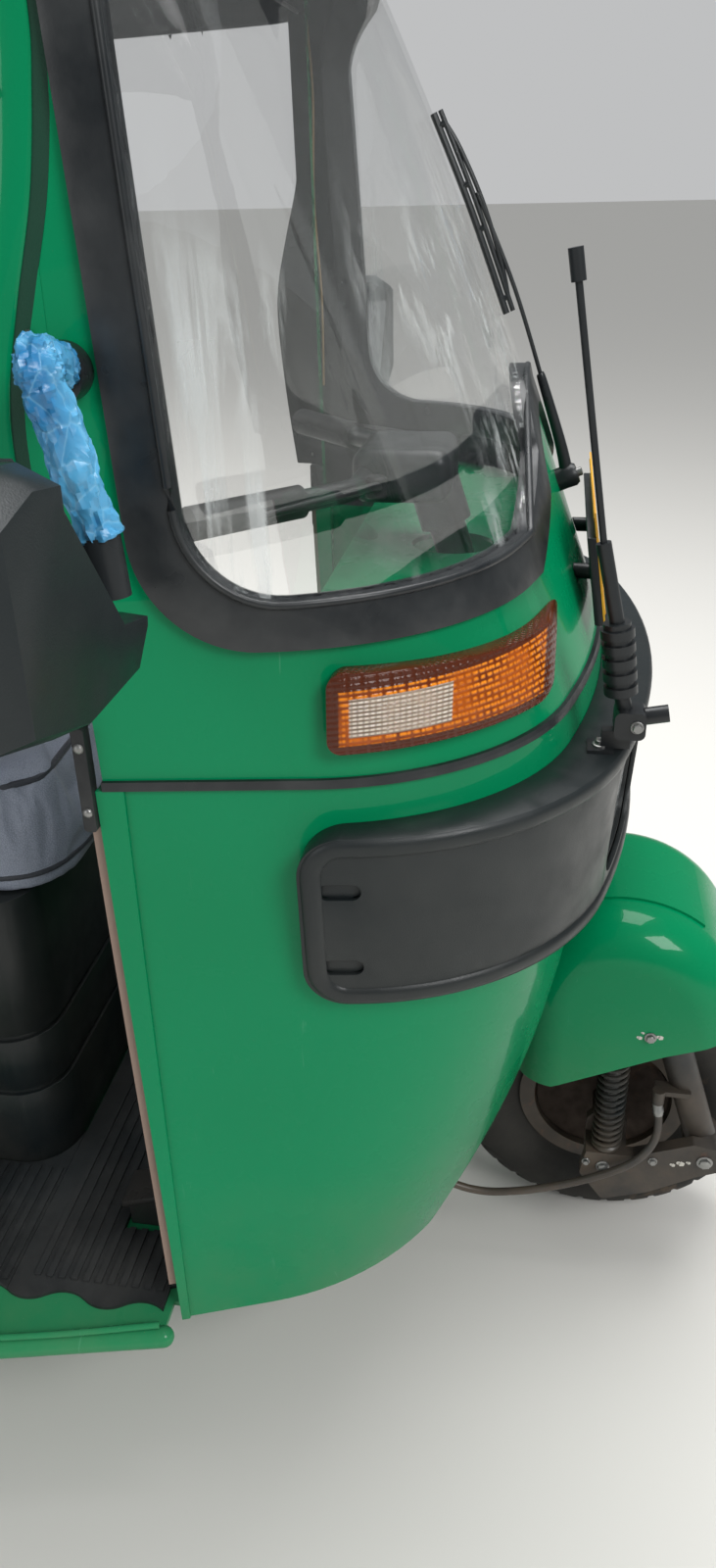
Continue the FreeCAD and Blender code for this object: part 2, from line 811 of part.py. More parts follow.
def tyre_shape(x0, station):
    """A tyre with rounded shoulders and straight beads, seated on the rim."""
    half = tyre_width / 2
    bead = rim_width / 2 - rim_wall - seat_gap
    top = tyre_radius
    foot = rim_radius + 8.0
    belly = (rim_radius + tyre_radius) / 2
    shoulder = half - tyre_shoulder

    def p(x, r):
        return FreeCAD.Vector(x0 + x, Y(station), tyre_radius + r)
    inner = rim_radius - bead_seat_drop
    wire = Part.Wire([
        Part.makeLine(p(-bead, inner), p(-bead, foot)),
        Part.Arc(p(-bead, foot), p(-half, belly), p(-shoulder, top - 12)).toShape(),
        Part.Arc(p(-shoulder, top - 12), p(0, top), p(shoulder, top - 12)).toShape(),
        Part.Arc(p(shoulder, top - 12), p(half, belly), p(bead, foot)).toShape(),
        Part.makeLine(p(bead, foot), p(bead, inner)),
        Part.makeLine(p(bead, inner), p(-bead, inner)),
    ])
    return Part.Face(wire).revolve(p(0, 0), ALONG_X, 360)


def rim_shape(x0, station, side):
    """A split pressed rim with its drum; the drum's open side faces side."""
    half = rim_width / 2
    wall = rim_wall
    seat = rim_radius - bead_seat_drop - seat_gap
    lip = rim_radius + rim_lip
    profile = [(-half, lip), (-half, seat - wall), (-half + 12, seat - wall),
               (-half + 20, rim_well_radius), (half - 20, rim_well_radius),
               (half - 12, seat - wall), (half, seat - wall), (half, lip),
               (half - wall, lip), (half - wall, seat), (half - 14, seat),
               (half - 22, rim_well_radius + wall), (-half + 22, rim_well_radius + wall),
               (-half + 14, seat), (-half + wall, seat), (-half + wall, lip)]
    barrel = ring_solid(profile, x0, station, tyre_radius)
    d0, d1 = -drum_width / 2, drum_width / 2
    bore = axle_radius + running_gap
    web = d0 + drum_wall
    drum = [(side * d0, bore), (side * d0, rim_well_radius + 1),
            (side * web, rim_well_radius + 1), (side * web, drum_radius),
            (side * d1, drum_radius), (side * d1, drum_radius - drum_wall),
            (side * web, drum_radius - drum_wall), (side * web, hub_radius),
            (side * (d0 + hub_length), hub_radius), (side * (d0 + hub_length), bore)]
    hub = ring_solid(drum, x0, station, tyre_radius)
    return fuse([barrel, hub])


def make_front_wheel():
    save("front_tyre", tyre_shape(0.0, 0.0))
    save("front_rim", rim_shape(0.0, 0.0, -1))


def make_rear_wheels():
    for name, side in (("right", -1), ("left", 1)):
        x = side * rear_track / 2
        save("rear_tyre_" + name, tyre_shape(x, wheelbase))
        save("rear_rim_" + name, rim_shape(x, wheelbase, -side))


def guard_outline(inset, x):
    """The mudguard's side view: a rear arc and a tighter front arc that meet at the crest."""
    rear, crest = guard_rear_station - inset, guard_crest_z - inset
    rear_r, front_r = guard_rear_station - inset, guard_crown_radius - inset
    sweep = math.radians(guard_front_sweep)
    tip = (-front_r * math.sin(sweep), crest - front_r + front_r * math.cos(sweep))
    half = (-front_r * math.sin(sweep / 2), crest - front_r + front_r * math.cos(sweep / 2))
    low = guard_rear_lip_z - 20.0
    drop = tip[1] - low
    nose = (tip[0] - drop / math.tan(sweep), low)
    diag = math.sqrt(0.5)
    return Part.Wire([
        Part.makeLine(V(x, rear, low), V(x, rear, crest - rear_r)),
        Part.Arc(V(x, rear, crest - rear_r), V(x, rear_r * diag, crest - rear_r + rear_r * diag),
                 V(x, 0, crest)).toShape(),
        Part.Arc(V(x, 0, crest), V(x, *half), V(x, *tip)).toShape(),
        Part.makeLine(V(x, *tip), V(x, *nose)),
        Part.makeLine(V(x, *nose), V(x, rear, low)),
    ])


def guard_dome(inset):
    width = 2 * (guard_half - inset)
    solid = Part.Face(guard_outline(inset, -width / 2)).extrude(FreeCAD.Vector(width, 0, 0))
    edges = []
    for edge in solid.Edges:
        middle = edge.CenterOfMass
        if abs(abs(middle.x) - width / 2) < 1 and edge.BoundBox.ZMax > guard_rear_lip_z:
            edges.append(edge)
    return solid.makeFillet(guard_corner - inset, edges)


def make_mudguard():
    """A deep domed mudguard, open below for the wheel, its skirt rising to the front."""
    shell = guard_dome(0.0).cut(guard_dome(guard_wall))
    panel = guard_dome(-guard_panel_rise).cut(guard_dome(guard_wall / 2))
    panel = panel.common(box(-68, 68, -95, 60, guard_crest_z - 90, guard_crest_z + 20))
    shell = fuse([shell, panel])
    skirt = [(-400, 200), (200, 200), (200, guard_rear_lip_z), (75, guard_rear_lip_z + 6),
             (-60, 372), (-400, guard_front_lip_z + 60)]
    shell = shell.cut(prism_x(skirt, -300, 300))
    wheel_half = tyre_width / 2 + 17.0
    wheel_space = cross_rod(-wheel_half, wheel_half, 0, tyre_radius, tyre_radius + 22.0)
    shell = shell.cut(wheel_space)
    shell = shell.cut(box(-70, 70, 60, 200, 200, 400))
    spring_room = rod(V(spring_x, spring_station, spring_low_z),
                      V(spring_x, spring_station, crown_z), spring_radius + 2 * seat_gap)
    save("front_mudguard", shell.cut(fork_solid(seat_gap)).cut(spring_room))


def leg_station(z):
    """The fork leg lies along the steering axis, so its station follows from its height."""
    return link_pivot_station + (z - link_pivot_z) * math.tan(math.radians(steering_rake))


def fork_solid(grow):
    """The stem, its crown, the one leg ahead of the wheel and the spring's hanger."""
    radius = fork_radius + grow
    top = V(fork_x, leg_station(crown_z), crown_z)
    pivot = V(fork_x, link_pivot_station, link_pivot_z)
    stem = rod(steering_point(stem_low_z), steering_point(handlebar_z - 30.0), stem_radius + grow)
    crown = rod(steering_point(crown_z + 10.0), top, radius)
    leg = rod(top, pivot, radius)
    knee = Part.makeSphere(radius, top)
    eye = cross_rod(fork_x - fork_eye_half - grow, fork_x + fork_eye_half + grow,
                    link_pivot_station, link_pivot_z, fork_eye_radius + grow)
    hanger = box(spring_x - 14 - grow, fork_x + grow, spring_station - 15 - grow,
                 spring_station + 15 + grow, spring_high_z - grow, crown_z + grow)
    tie = box(spring_x - 14 - grow, fork_x + grow, leg_station(crown_z) - grow,
              spring_station + grow, crown_z - 24 - grow, crown_z + grow)
    return fuse([stem, crown, leg, knee, eye, hanger, tie])


def make_fork():
    x, s, hose_z = HOSE_POINTS[0]
    lug_z = hose_z + hose_end_gap
    union = rod(V(x, s, lug_z), V(x, s, lug_z + 20), union_radius)
    lug = box(x, fork_x - 6, leg_station(lug_z), s + 4, lug_z + 10, lug_z + 17)
    pin_hole = cross_rod(-200, 0, link_pivot_station, link_pivot_z, link_pin_radius + running_gap)
    save("front_fork", fuse([fork_solid(0.0), union, lug]).cut(pin_hole))


def make_trailing_link():
    """The link from the fork's foot back to the axle, with its pin and the axle in it."""
    outer = fork_x - fork_eye_half - seat_gap
    s, z = link_pivot_station, link_pivot_z
    low, top = spring_low_z - 30.0, spring_low_z
    front, back = spring_station - spring_radius - 6, spring_station + spring_radius + 6
    cheek = [(s - 22, z - 14), (s - 14, z + 22), (s + 16, z + 27), (front - 8, top), (back, top),
             (back + 6, low - 8), (spring_station, low - 52), (s + 66, z - 64), (s + 6, z - 27)]
    cheek = rounded(prism_x(cheek, outer - link_cheek, outer), 6.0, ALONG_X)
    inner = fork_x + link_plate
    seat = box(outer - link_cheek, inner, front, back, low, top)
    plate = prism_x([(front, low), (back, low), (back, tyre_radius + 12), (12, tyre_radius + 26),
                     (-12, tyre_radius + 26), (front, tyre_radius + 12)], fork_x + seat_gap, inner)
    pin = cross_rod(outer - link_cheek, fork_x + fork_eye_half, s, z, link_pin_radius)
    axle = cross_rod(fork_x + seat_gap, 42.0, 0, tyre_radius, axle_radius)
    save("trailing_link", fuse([cheek, seat, plate, pin, axle]).cut(
        cross_rod(outer, inner, s, z, fork_eye_radius + seat_gap).cut(
            cross_rod(outer, inner, s, z, link_pin_radius))))


def make_front_spring():
    """A coil spring with its seats, turned as close rings round the damper's tube."""
    low, high = spring_low_z + seat_gap, spring_high_z - seat_gap
    pitch = (high - low - 2 * spring_wire) / spring_turns
    profile = [(0.0, low), (spring_radius, low), (spring_radius, low + spring_wire)]
    for i in range(spring_turns):
        z = low + spring_wire + i * pitch
        profile += [(spring_core_radius, z + 1.0), (spring_core_radius, z + pitch - spring_wire),
                    (spring_radius, z + pitch - spring_wire + 1.5), (spring_radius, z + pitch - 1.0)]
    profile += [(spring_radius, high), (0.0, high)]
    points = [V(spring_x + r, spring_station, z) for r, z in profile]
    face = Part.Face(Part.makePolygon(points + points[:1]))
    save("front_spring", face.revolve(V(spring_x, spring_station, 0), ALONG_Z, 360))


def make_brake_plate():
    """The plate that closes the drum on the fork's side."""
    face = -drum_width / 2 - 2.0
    link_face = fork_x + link_plate + seat_gap
    plate = cross_rod(face - 6.0, face, 0, tyre_radius, drum_radius + 10.0)
    boss = cross_rod(link_face, face, 0, tyre_radius, 13.0)
    bore = cross_rod(-150, 50, 0, tyre_radius, axle_radius + running_gap)
    save("brake_plate", fuse([plate, boss]).cut(bore))


# The front brake's hose, from the union on the fork to the one on the chassis: x, station, z
HOSE_POINTS = [(-118, -60, 282), (-124, -66, 252), (-134, -59, 223), (-140, -35, 194),
               (-142, 8, 168), (-142, 56, 144), (-142, 106, 126), (-143, 156, 118),
               (-145, 202, 132), (-147, 236, 164), (-149, 268, 200),
               (-150, front_cross_station - union_length - hose_end_gap, 228)]


def make_brake_hose():
    """A hose in straight runs joined by arcs as large as the shorter run allows."""
    points = [V(*p) for p in HOSE_POINTS]
    bends = []
    for i in range(1, len(points) - 1):
        _, _, turn, _ = corner_reach(points, i, 1.0)
        shorter = min((points[i] - points[i - 1]).Length, (points[i + 1] - points[i]).Length)
        bends.append(0.45 * shorter / math.tan(turn / 2))
    print("hose bend radii:", [round(b) for b in bends])
    path = tube_path(points, bends)
    ring = Part.Wire(Part.makeCircle(hose_radius, points[0], points[1] - points[0]))
    hose = path.makePipeShell([ring], True, True)
    straight = math.pi * hose_radius ** 2 * path.Length
    print("hose length", round(path.Length), "volume over section times length",
          round(hose.Volume / straight, 4))
    save("brake_hose", hose)


def make_handlebar():
    """A swept bar on the stem with a switch housing at its middle."""
    clamp = steering_point(handlebar_z)

    def at(x, back):
        return FreeCAD.Vector(x, clamp.y + back, clamp.z)
    end, middle = grip_half_span, handlebar_middle_half
    bar = bent_tube([at(-end, handlebar_end_back), at(-middle, handlebar_middle_back),
                     at(middle, handlebar_middle_back), at(end, handlebar_end_back)],
                    handlebar_radius, handlebar_bend)
    pod = Part.makeBox(2 * pod_half, pod_length, pod_height,
                       FreeCAD.Vector(-pod_half, clamp.y - 28, clamp.z - pod_height / 2))
    pod = pod.makeFillet(16.0, pod.Edges)
    socket = rod(steering_point(handlebar_z - 60.0), clamp, stem_radius + 8.0)
    stem_room = rod(steering_point(head_tube_high_z), steering_point(handlebar_z - 30.0),
                    stem_radius + running_gap)
    save("handlebar", fuse([bar, pod, socket]).cut(stem_room))
    grips = []
    for side in (-1, 1):
        a = at(side * end, handlebar_end_back)
        run = (at(side * middle, handlebar_middle_back) - a).normalize()
        outer = rod(a - run * grip_end, a + run * grip_length, grip_radius)
        hole = rod(a, a + run * (grip_length + 10.0), handlebar_radius + running_gap)
        grips.append(outer.cut(hole))
    save("handlebar_grips", Part.makeCompound(grips))


def top_edges(solid, z):
    return [e for e in solid.Edges if e.BoundBox.ZMin > z - 1]


def make_driver_seat():
    """A moulded base with a cushion, a rail behind it and a padded back on the rail."""
    s0 = driver_seat_front + driver_seat_toe
    s1 = driver_seat_front + driver_seat_depth
    base = box(-driver_base_half, driver_base_half, s0, s1, floor_z, driver_seat_z)
    base = rounded(base, 60.0, ALONG_Z)
    for z in (floor_z + 110.0, floor_z + 190.0):
        groove = box(-driver_base_half - 10, driver_base_half + 10, s0 - 10, s1 + 10, z, z + 8.0)
        core = rounded(box(-driver_base_half + 5, driver_base_half - 5, s0 + 5, s1 - 5,
                           z, z + 8.0), 55.0, ALONG_Z)
        base = base.cut(groove.cut(core))
    save("driver_seat_base", base)
    top = driver_seat_z + driver_cushion_height
    cushion = box(-driver_seat_half, driver_seat_half, driver_seat_front, s1, driver_seat_z, top)
    cushion = rounded(cushion, 70.0, ALONG_Z)
    save("driver_cushion", cushion.makeFillet(24.0, top_edges(cushion, top)))
    rail_s = s1 + driver_rail_radius + 20.0
    half, r = driver_rail_half, driver_rail_radius
    rail = bent_tube([V(-half, rail_s, floor_z), V(-half, rail_s, driver_rail_top_z),
                      V(half, rail_s, driver_rail_top_z), V(half, rail_s, floor_z)], r, 70.0)
    save("driver_rail", rail)
    back_s = rail_s - r - seat_gap
    low = top + seat_gap
    back = box(-driver_back_half, driver_back_half, back_s - driver_back_thick, back_s,
               low, low + driver_back_height)
    save("driver_backrest", rounded(back, 50.0, ALONG_Y))


def make_bench():
    """The passengers' bench: base, cushion and back."""
    rear = bench_front + bench_depth
    base = box(-bench_half + 60, bench_half - 60, bench_front + 30, rear - 22, floor_z, bench_z)
    save("bench_base", base)
    cushion = box(-bench_half, bench_half, bench_front, rear, bench_z, bench_z + bench_cushion_height)
    save("bench_cushion", rounded(cushion, 40.0, ALONG_Z))
    low = bench_z + bench_cushion_height + seat_gap
    high = low + bench_back_height
    slope, thick = bench_back_slope, bench_back_thick
    back = prism_x([(rear - thick, low), (rear, low), (rear + slope, high),
                    (rear + slope - thick, high)], -bench_half, bench_half)
    save("bench_backrest", back)


def rear_plan(inset, front, low, high):
    """The rear body's plan, with rounded corners behind, carried from low to high."""
    half = rear_width / 2 - inset
    block = box(-half, half, front, rear_end_station - inset, low, high)
    edges = []
    for edge in block.Edges:
        upright = abs(edge.BoundBox.ZLength - (high - low)) < 1
        if upright and edge.CenterOfMass.y > Y(wheelbase):
            edges.append(edge)
    return block.makeFillet(rear_corner - inset, edges)


def hinge_knuckles(fixed):
    """Knuckles and leaves of the two hinges: the panel's with the pins, or the door's."""
    pieces = []
    s = rear_end_station + hinge_out
    half, share = hinge_half, hinge_share
    leaf = 4.0
    for x in (-hinge_x, hinge_x):
        if fixed:
            pieces.append(cross_rod(x - half, x + half, s, hinge_z, hinge_pin_radius))
            for x0 in (x - half, x + half - share):
                pieces.append(cross_rod(x0, x0 + share, s, hinge_z, hinge_barrel_radius))
                pieces.append(box(x0, x0 + share, rear_end_station, rear_end_station + leaf,
                                  hinge_z + 4, hinge_z + 32))
        else:
            middle = half - share - hinge_side_gap
            pieces.append(cross_rod(x - middle, x + middle, s, hinge_z, hinge_barrel_radius))
            pieces.append(box(x - middle, x + middle, rear_end_station, rear_end_station + leaf,
                              hinge_z - 40, hinge_z - 4))
    return pieces


def make_rear_body():
    """Two side panels that wrap round to the rear, the rear panel and the engine's door."""
    half = rear_width / 2
    flat_half = half - rear_corner
    front = doorway_station - 200.0
    shell = rear_plan(0.0, front, side_low_z, waist_z)
    shell = shell.cut(rear_plan(skin, front - 10.0, side_low_z - 10.0, waist_z + 10.0))
    outline = [(doorway_station, side_low_z), (wheelbase, side_low_z), (wheelbase, rear_low_z),
               (rear_end_station + 10, rear_low_z), (rear_end_station + 10, waist_z),
               (doorway_station - 40, waist_z)]
    arch_radius = tyre_radius + wheel_room
    opening = cross_rod(-half - 60, half + 60, wheelbase, tyre_radius, arch_radius)
    body = shell.common(prism_x(outline, -half - 20, half + 20)).cut(opening)
    panel = body.common(box(-half - 20, -flat_half, 0, rear_end_station + 20, 0, 2000))
    ring = cross_rod(-half - arch_lip_out, -half + skin, wheelbase, tyre_radius,
                     arch_radius + arch_lip_width).cut(opening)
    keep = fuse([box(-half - 40, 0, 0, wheelbase, side_low_z, 1000),
                 box(-half - 40, 0, wheelbase, rear_end_station, rear_low_z, 1000)])
    bead = rod(V(-half, doorway_station + 10, side_bead_z),
               V(-half, rear_end_station - rear_corner, side_bead_z), side_bead_radius)
    panel = fuse([panel, ring.common(keep), bead])
    save("quarter_panel_right", panel)
    save("quarter_panel_left", mirrored(panel))
    rear = body.common(box(-flat_half, flat_half, wheelbase, rear_end_station + 20, 0, 2000))
    gap = door_gap
    hole = box(-door_half - gap, door_half + gap, rear_end_station - 50, rear_end_station + 50,
               door_low_z - gap, door_high_z + gap)
    rear = rear.cut(rounded(hole, door_corner + gap, ALONG_Y))
    for x in (-plate_spacing / 2, plate_spacing / 2):
        rear = rear.cut(rod(V(x, rear_end_station - 20, plate_hole_z),
                            V(x, rear_end_station + 20, plate_hole_z), plate_hole_radius))
    save("rear_panel", fuse([rear] + hinge_knuckles(True)))
    door = box(-door_half, door_half, rear_end_station - skin, rear_end_station, door_low_z, door_high_z)
    door = fuse([rounded(door, door_corner, ALONG_Y)] + hinge_knuckles(False))
    for x in (-hinge_x, hinge_x):
        door = door.cut(cross_rod(x - 2 * hinge_half, x + 2 * hinge_half,
                                  rear_end_station + hinge_out, hinge_z,
                                  hinge_pin_radius + running_gap))
    save("engine_door", door)


def hood_place(station):
    return lambda a, b: V(a, station, -b)


hood_half = rear_width / 2 - 1.0

# Cross sections of the hood: station, half width at the foot, foot z, crest z,
# lean of the sides in degrees, crown radius, shoulder radius
HOOD_SECTIONS = [
    (hood_front_station, 488.0, waist_z, 1636.0, 2.0, 3000.0, 60.0),
    (800.0, 592.0, waist_z, 1680.0, 2.0, 2000.0, 100.0),
    (post_station, 610.0, waist_z, 1690.0, 2.0, 1800.0, 108.0),
    (wheelbase - 500.0, hood_half, waist_z, hood_top_z, 2.0, 1500.0, 120.0),
    (wheelbase + 150.0, hood_half, waist_z, 1668.0, 2.0, 1500.0, 120.0),
    (rear_end_station - 60.0, hood_half, waist_z, 1612.0, 2.0, 1500.0, 120.0),
    (rear_end_station + 20.0, hood_half, waist_z, 1480.0, 2.0, 1500.0, 120.0),
]


def hood_solid(inset, drop=0.0):
    """The hood's outer form, moved inwards, with its feet carried down by drop."""
    wires = []
    for station, half, foot, crest, lean, r_crown, r_shoulder in HOOD_SECTIONS:
        foot_half = half + drop * math.tan(math.radians(lean))
        wires.append(u_wire(hood_place(station), foot_half, drop - foot, -crest,
                            lean, r_crown, r_shoulder, inset))
    return Part.makeLoft(wires, True, True)


def make_hood():
    """Canvas over the hoops: a roof with short eaves, closed sides behind and a back window."""
    outer = hood_solid(0.0).common(rear_plan(0.0, 0.0, waist_z, hood_top_z + 100.0))
    inner = hood_solid(canvas, OVER).common(rear_plan(canvas, 0.0, waist_z - 100, hood_top_z + 100.0))
    cover = outer.cut(inner)
    front_wall = outer.common(box(-700, 700, hood_front_station, hood_front_station + canvas,
                                  header_z + seat_gap, hood_top_z))
    cover = fuse([cover, front_wall])
    low = waist_z - 20.0
    doorway = [(0, low), (hoop_station + 40, low), (hoop_station - 60, hood_eave_z - 60),
               (hoop_station - 130, hood_eave_z), (0, hood_eave_z)]
    cover = cover.cut(prism_x(doorway, -900, 900))
    window = rounded(box(-window_half, window_half, rear_end_station - 50, rear_end_station + 50,
                         window_low_z, window_high_z), window_corner, ALONG_Y)
    save("hood_canopy", cover.cut(window))
    pane = box(-window_half, window_half, rear_end_station - canvas + 1.0,
               rear_end_station - canvas + 1.0 + window_thick, window_low_z, window_high_z)
    save("rear_window", rounded(pane, window_corner, ALONG_Y))


def hood_section_at(station):
    """The hood's section values at any station, worked out between the listed ones."""
    for low, high in zip(HOOD_SECTIONS, HOOD_SECTIONS[1:]):
        if low[0] <= station <= high[0]:
            share = (station - low[0]) / (high[0] - low[0])
            return [p + share * (q - p) for p, q in zip(low, high)]
    raise ValueError("station outside the hood")


def hoop(station, foot_z):
    """One bent hoop below the canvas, from foot to foot across the vehicle."""
    _, half, foot, crest, lean, r_crown, r_shoulder = hood_section_at(station)
    drop = foot - foot_z
    foot_half = half + drop * math.tan(math.radians(lean))
    inset = canvas + hoop_gap + hood_tube_radius
    ring = u_wire(hood_place(station), foot_half, drop - foot, -crest, lean,
                  r_crown, r_shoulder, inset)
    path = Part.Wire(ring.OrderedEdges[:5])
    start = path.OrderedVertexes[0].Point
    ahead = path.OrderedVertexes[1].Point - start
    profile = Part.Wire(Part.makeCircle(hood_tube_radius, start, ahead))
    return path.makePipeShell([profile], True, True)


# Hoops below the canvas: station, foot z
HOOPS = [
    (post_station, floor_z - floor_thick + sill_radius + seat_gap),
    (hoop_station, waist_z - hoop_foot_depth),
    (wheelbase + back_hoop_behind, waist_z - hoop_foot_depth),
]


def make_hood_frame():
    save("hood_frame", Part.makeCompound([hoop(station, foot_z) for station, foot_z in HOOPS]))


def make_jamb_trims():
    """A liner strip behind the jamb on each side of the doorway."""
    outer = skin - 2.0
    strip = lower_solid(outer, skin + liner_width).cut(lower_solid(outer + liner_thick, OVER + 20.0))
    strip = strip.cut(lower_solid(-60.0, skin + seat_gap))
    strip = strip.common(box(-600, -200, 400, 500, 300, seam_z - seam_height))
    save("jamb_trims", pair(strip.cut(bracket_block(seat_gap))))


def make_wiper():
    """One arm pivoted on the scuttle's middle, parked up the glass."""
    x = 6.0
    out = FreeCAD.Vector(0, -0.933, 0.359)
    root = V(x, 116, 1020)
    boss = rod(root, root + out * 30.0, 13.0).cut(upper_solid(-seat_gap))
    arm = rod(root + out * 27.0, V(x, 172, 1222), 4.0)
    blade = rod(V(x, 166, 1195), V(x, 240, 1370), 4.5)
    save("wiper", fuse([boss, arm, blade]))


# The mirror's outline seen from the front: x, z
MIRROR_OUTLINE = [(-735.0, 1046.0), (-735.0, 1178.0), (-686.0, 1190.0), (-614.0, 1180.0),
                  (-528.0, 1098.0), (-514.0, 1062.0), (-518.0, 1044.0), (-546.0, 1019.0),
                  (-650.0, 1019.0)]
mirror_front_station = 386.0
mirror_rim_station = 410.0
mirror_back_station = 448.0
mirror_bevel = 0.86
mirror_wall = 5.0
mirror_arm_radius = 9.0
wrap_radius = 14.0
wrap_end_gap = 3.5


def mirror_outline_at(share, station):
    """The mirror's outline at a station, shrunk about its middle to the given share."""
    cx = sum(x for x, z in MIRROR_OUTLINE) / len(MIRROR_OUTLINE)
    cz = sum(z for x, z in MIRROR_OUTLINE) / len(MIRROR_OUTLINE)
    points = [V(cx + share * (x - cx), station, cz + share * (z - cz)) for x, z in MIRROR_OUTLINE]
    return Part.makePolygon(points + points[:1])


def make_mirrors():
    """Mirrors on bent arms from the screen pillars; each arm has a loose film sleeve."""
    base = V(-456, 453, 1206)
    elbow = V(-532, 441, 1224)
    low = V(-516, 419, 1108)
    foot = V(-518, 415, 1066)
    arm = bent_tube([base, elbow, low, foot], mirror_arm_radius, 16.0)
    grommet = rod(base + FreeCAD.Vector(2, 0, 0), base + FreeCAD.Vector(-22, 0, 0), 20.0)
    socket = rod(low, foot, wrap_radius)
    arm = fuse([arm, grommet, socket]).cut(upper_solid(-seat_gap)).cut(gasket_solid())
    save("mirror_arms", pair(arm))
    along = (low - elbow).normalize()
    wrap = bent_tube([base + (elbow - base) * 0.42, elbow, low - along * wrap_end_gap], wrap_radius, 16.0)
    sleeve_hole = bent_tube([base, elbow, low], mirror_arm_radius + seat_gap, 16.0)
    save("mirror_wraps", pair(wrap.cut(sleeve_hole).cut(grommet)))
    front = Part.makeLoft([mirror_outline_at(mirror_bevel, mirror_front_station),
                           mirror_outline_at(1.0, mirror_rim_station)], True, True)
    rim = Part.Face(mirror_outline_at(1.0, mirror_rim_station)).extrude(
        FreeCAD.Vector(0, mirror_back_station - mirror_rim_station, 0))
    shell = fuse([front, rim])
    recess = Part.Face(mirror_outline_at(0.9, mirror_back_station - 8.0)).extrude(
        FreeCAD.Vector(0, 20, 0))
    pocket = prism_y([(-640, 1157), (-572, 1066), (-505, 1052), (-505, 1220), (-640, 1220)],
                     mirror_front_station - 20, low.y - Y(0) + 2 * wrap_radius)
    pocket = pocket.cut(box(-800, 0, 425, 500, 0, 2000))
    shell = shell.cut(recess).cut(pocket).cut(rod(low, foot, wrap_radius + seat_gap))
    save("mirror_housings", pair(shell))
    glass = Part.Face(mirror_outline_at(0.89, mirror_back_station - 8.0 + seat_gap)).extrude(
        FreeCAD.Vector(0, 3.0, 0))
    save("mirror_glasses", pair(glass))


def make_marker_pole():
    """A flexible corner pole on the bumper's shelf: tab, clamp, ribbed boot, sleeve and rod."""
    x = pole_x
    shelf = bumper_high_z
    tab = box(x - 13, x + 13, 48, 72, shelf, shelf + 3)
    post = box(x - 6, x + 6, 34, 60, shelf + 3, shelf + 20)
    clamp = rounded(box(x - 15, x + 15, 22, 50, shelf + 16, shelf + 42), 6.0, ALONG_X)
    knob = rod(V(x, 22, shelf + 34), V(x, 2, shelf + 38), 8)
    low, boot_low = V(x, 38, shelf + 30), V(x, 46, shelf + 56)
    boot_high, sleeve_high = V(x, 55, shelf + 122), V(x, 72, shelf + 192)
    tip = V(x, 111, shelf + 418)
    pieces = [tab, post, clamp, knob, rod(low, boot_low, 7), rod(boot_low, boot_high, 12),
              rod(boot_high, sleeve_high, 6.5), rod(sleeve_high, tip, 3)]
    run = (boot_high - boot_low) * 0.2
    for i in range(5):
        rib = boot_low + run * i
        pieces.append(rod(rib, rib + run * 0.6, pole_boot_radius))
    pieces.append(rod(tip - (tip - sleeve_high).normalize() * 24, tip, 6))
    save("marker_pole", fuse(pieces))


def make_number_plate():
    """A bare plate in its holder, leaning back just ahead of the scuttle."""
    lean = math.tan(math.radians(plate_lean))

    def slab(half, z0, z1, ahead, thick):
        s0 = plate_low_station + (z0 - plate_low_z) * lean + ahead
        s1 = plate_low_station + (z1 - plate_low_z) * lean + ahead
        return prism_x([(s0, z0), (s0 + thick, z0), (s1 + thick, z1), (s1, z1)], -half, half)
    plate = slab(plate_half, plate_low_z, plate_high_z, 0.0, plate_thick)
    save("number_plate", plate)
    holder = slab(plate_half, plate_low_z - 4, plate_high_z - 24, plate_thick, holder_depth)
    lugs = []
    for x in (-90, 90):
        start = V(x, plate_low_station + 14, 962)
        lugs.append(rod(start, start + ALONG_Y * 60, 8.0).cut(upper_solid(-seat_gap)))
    save("plate_holder", fuse([holder] + lugs))


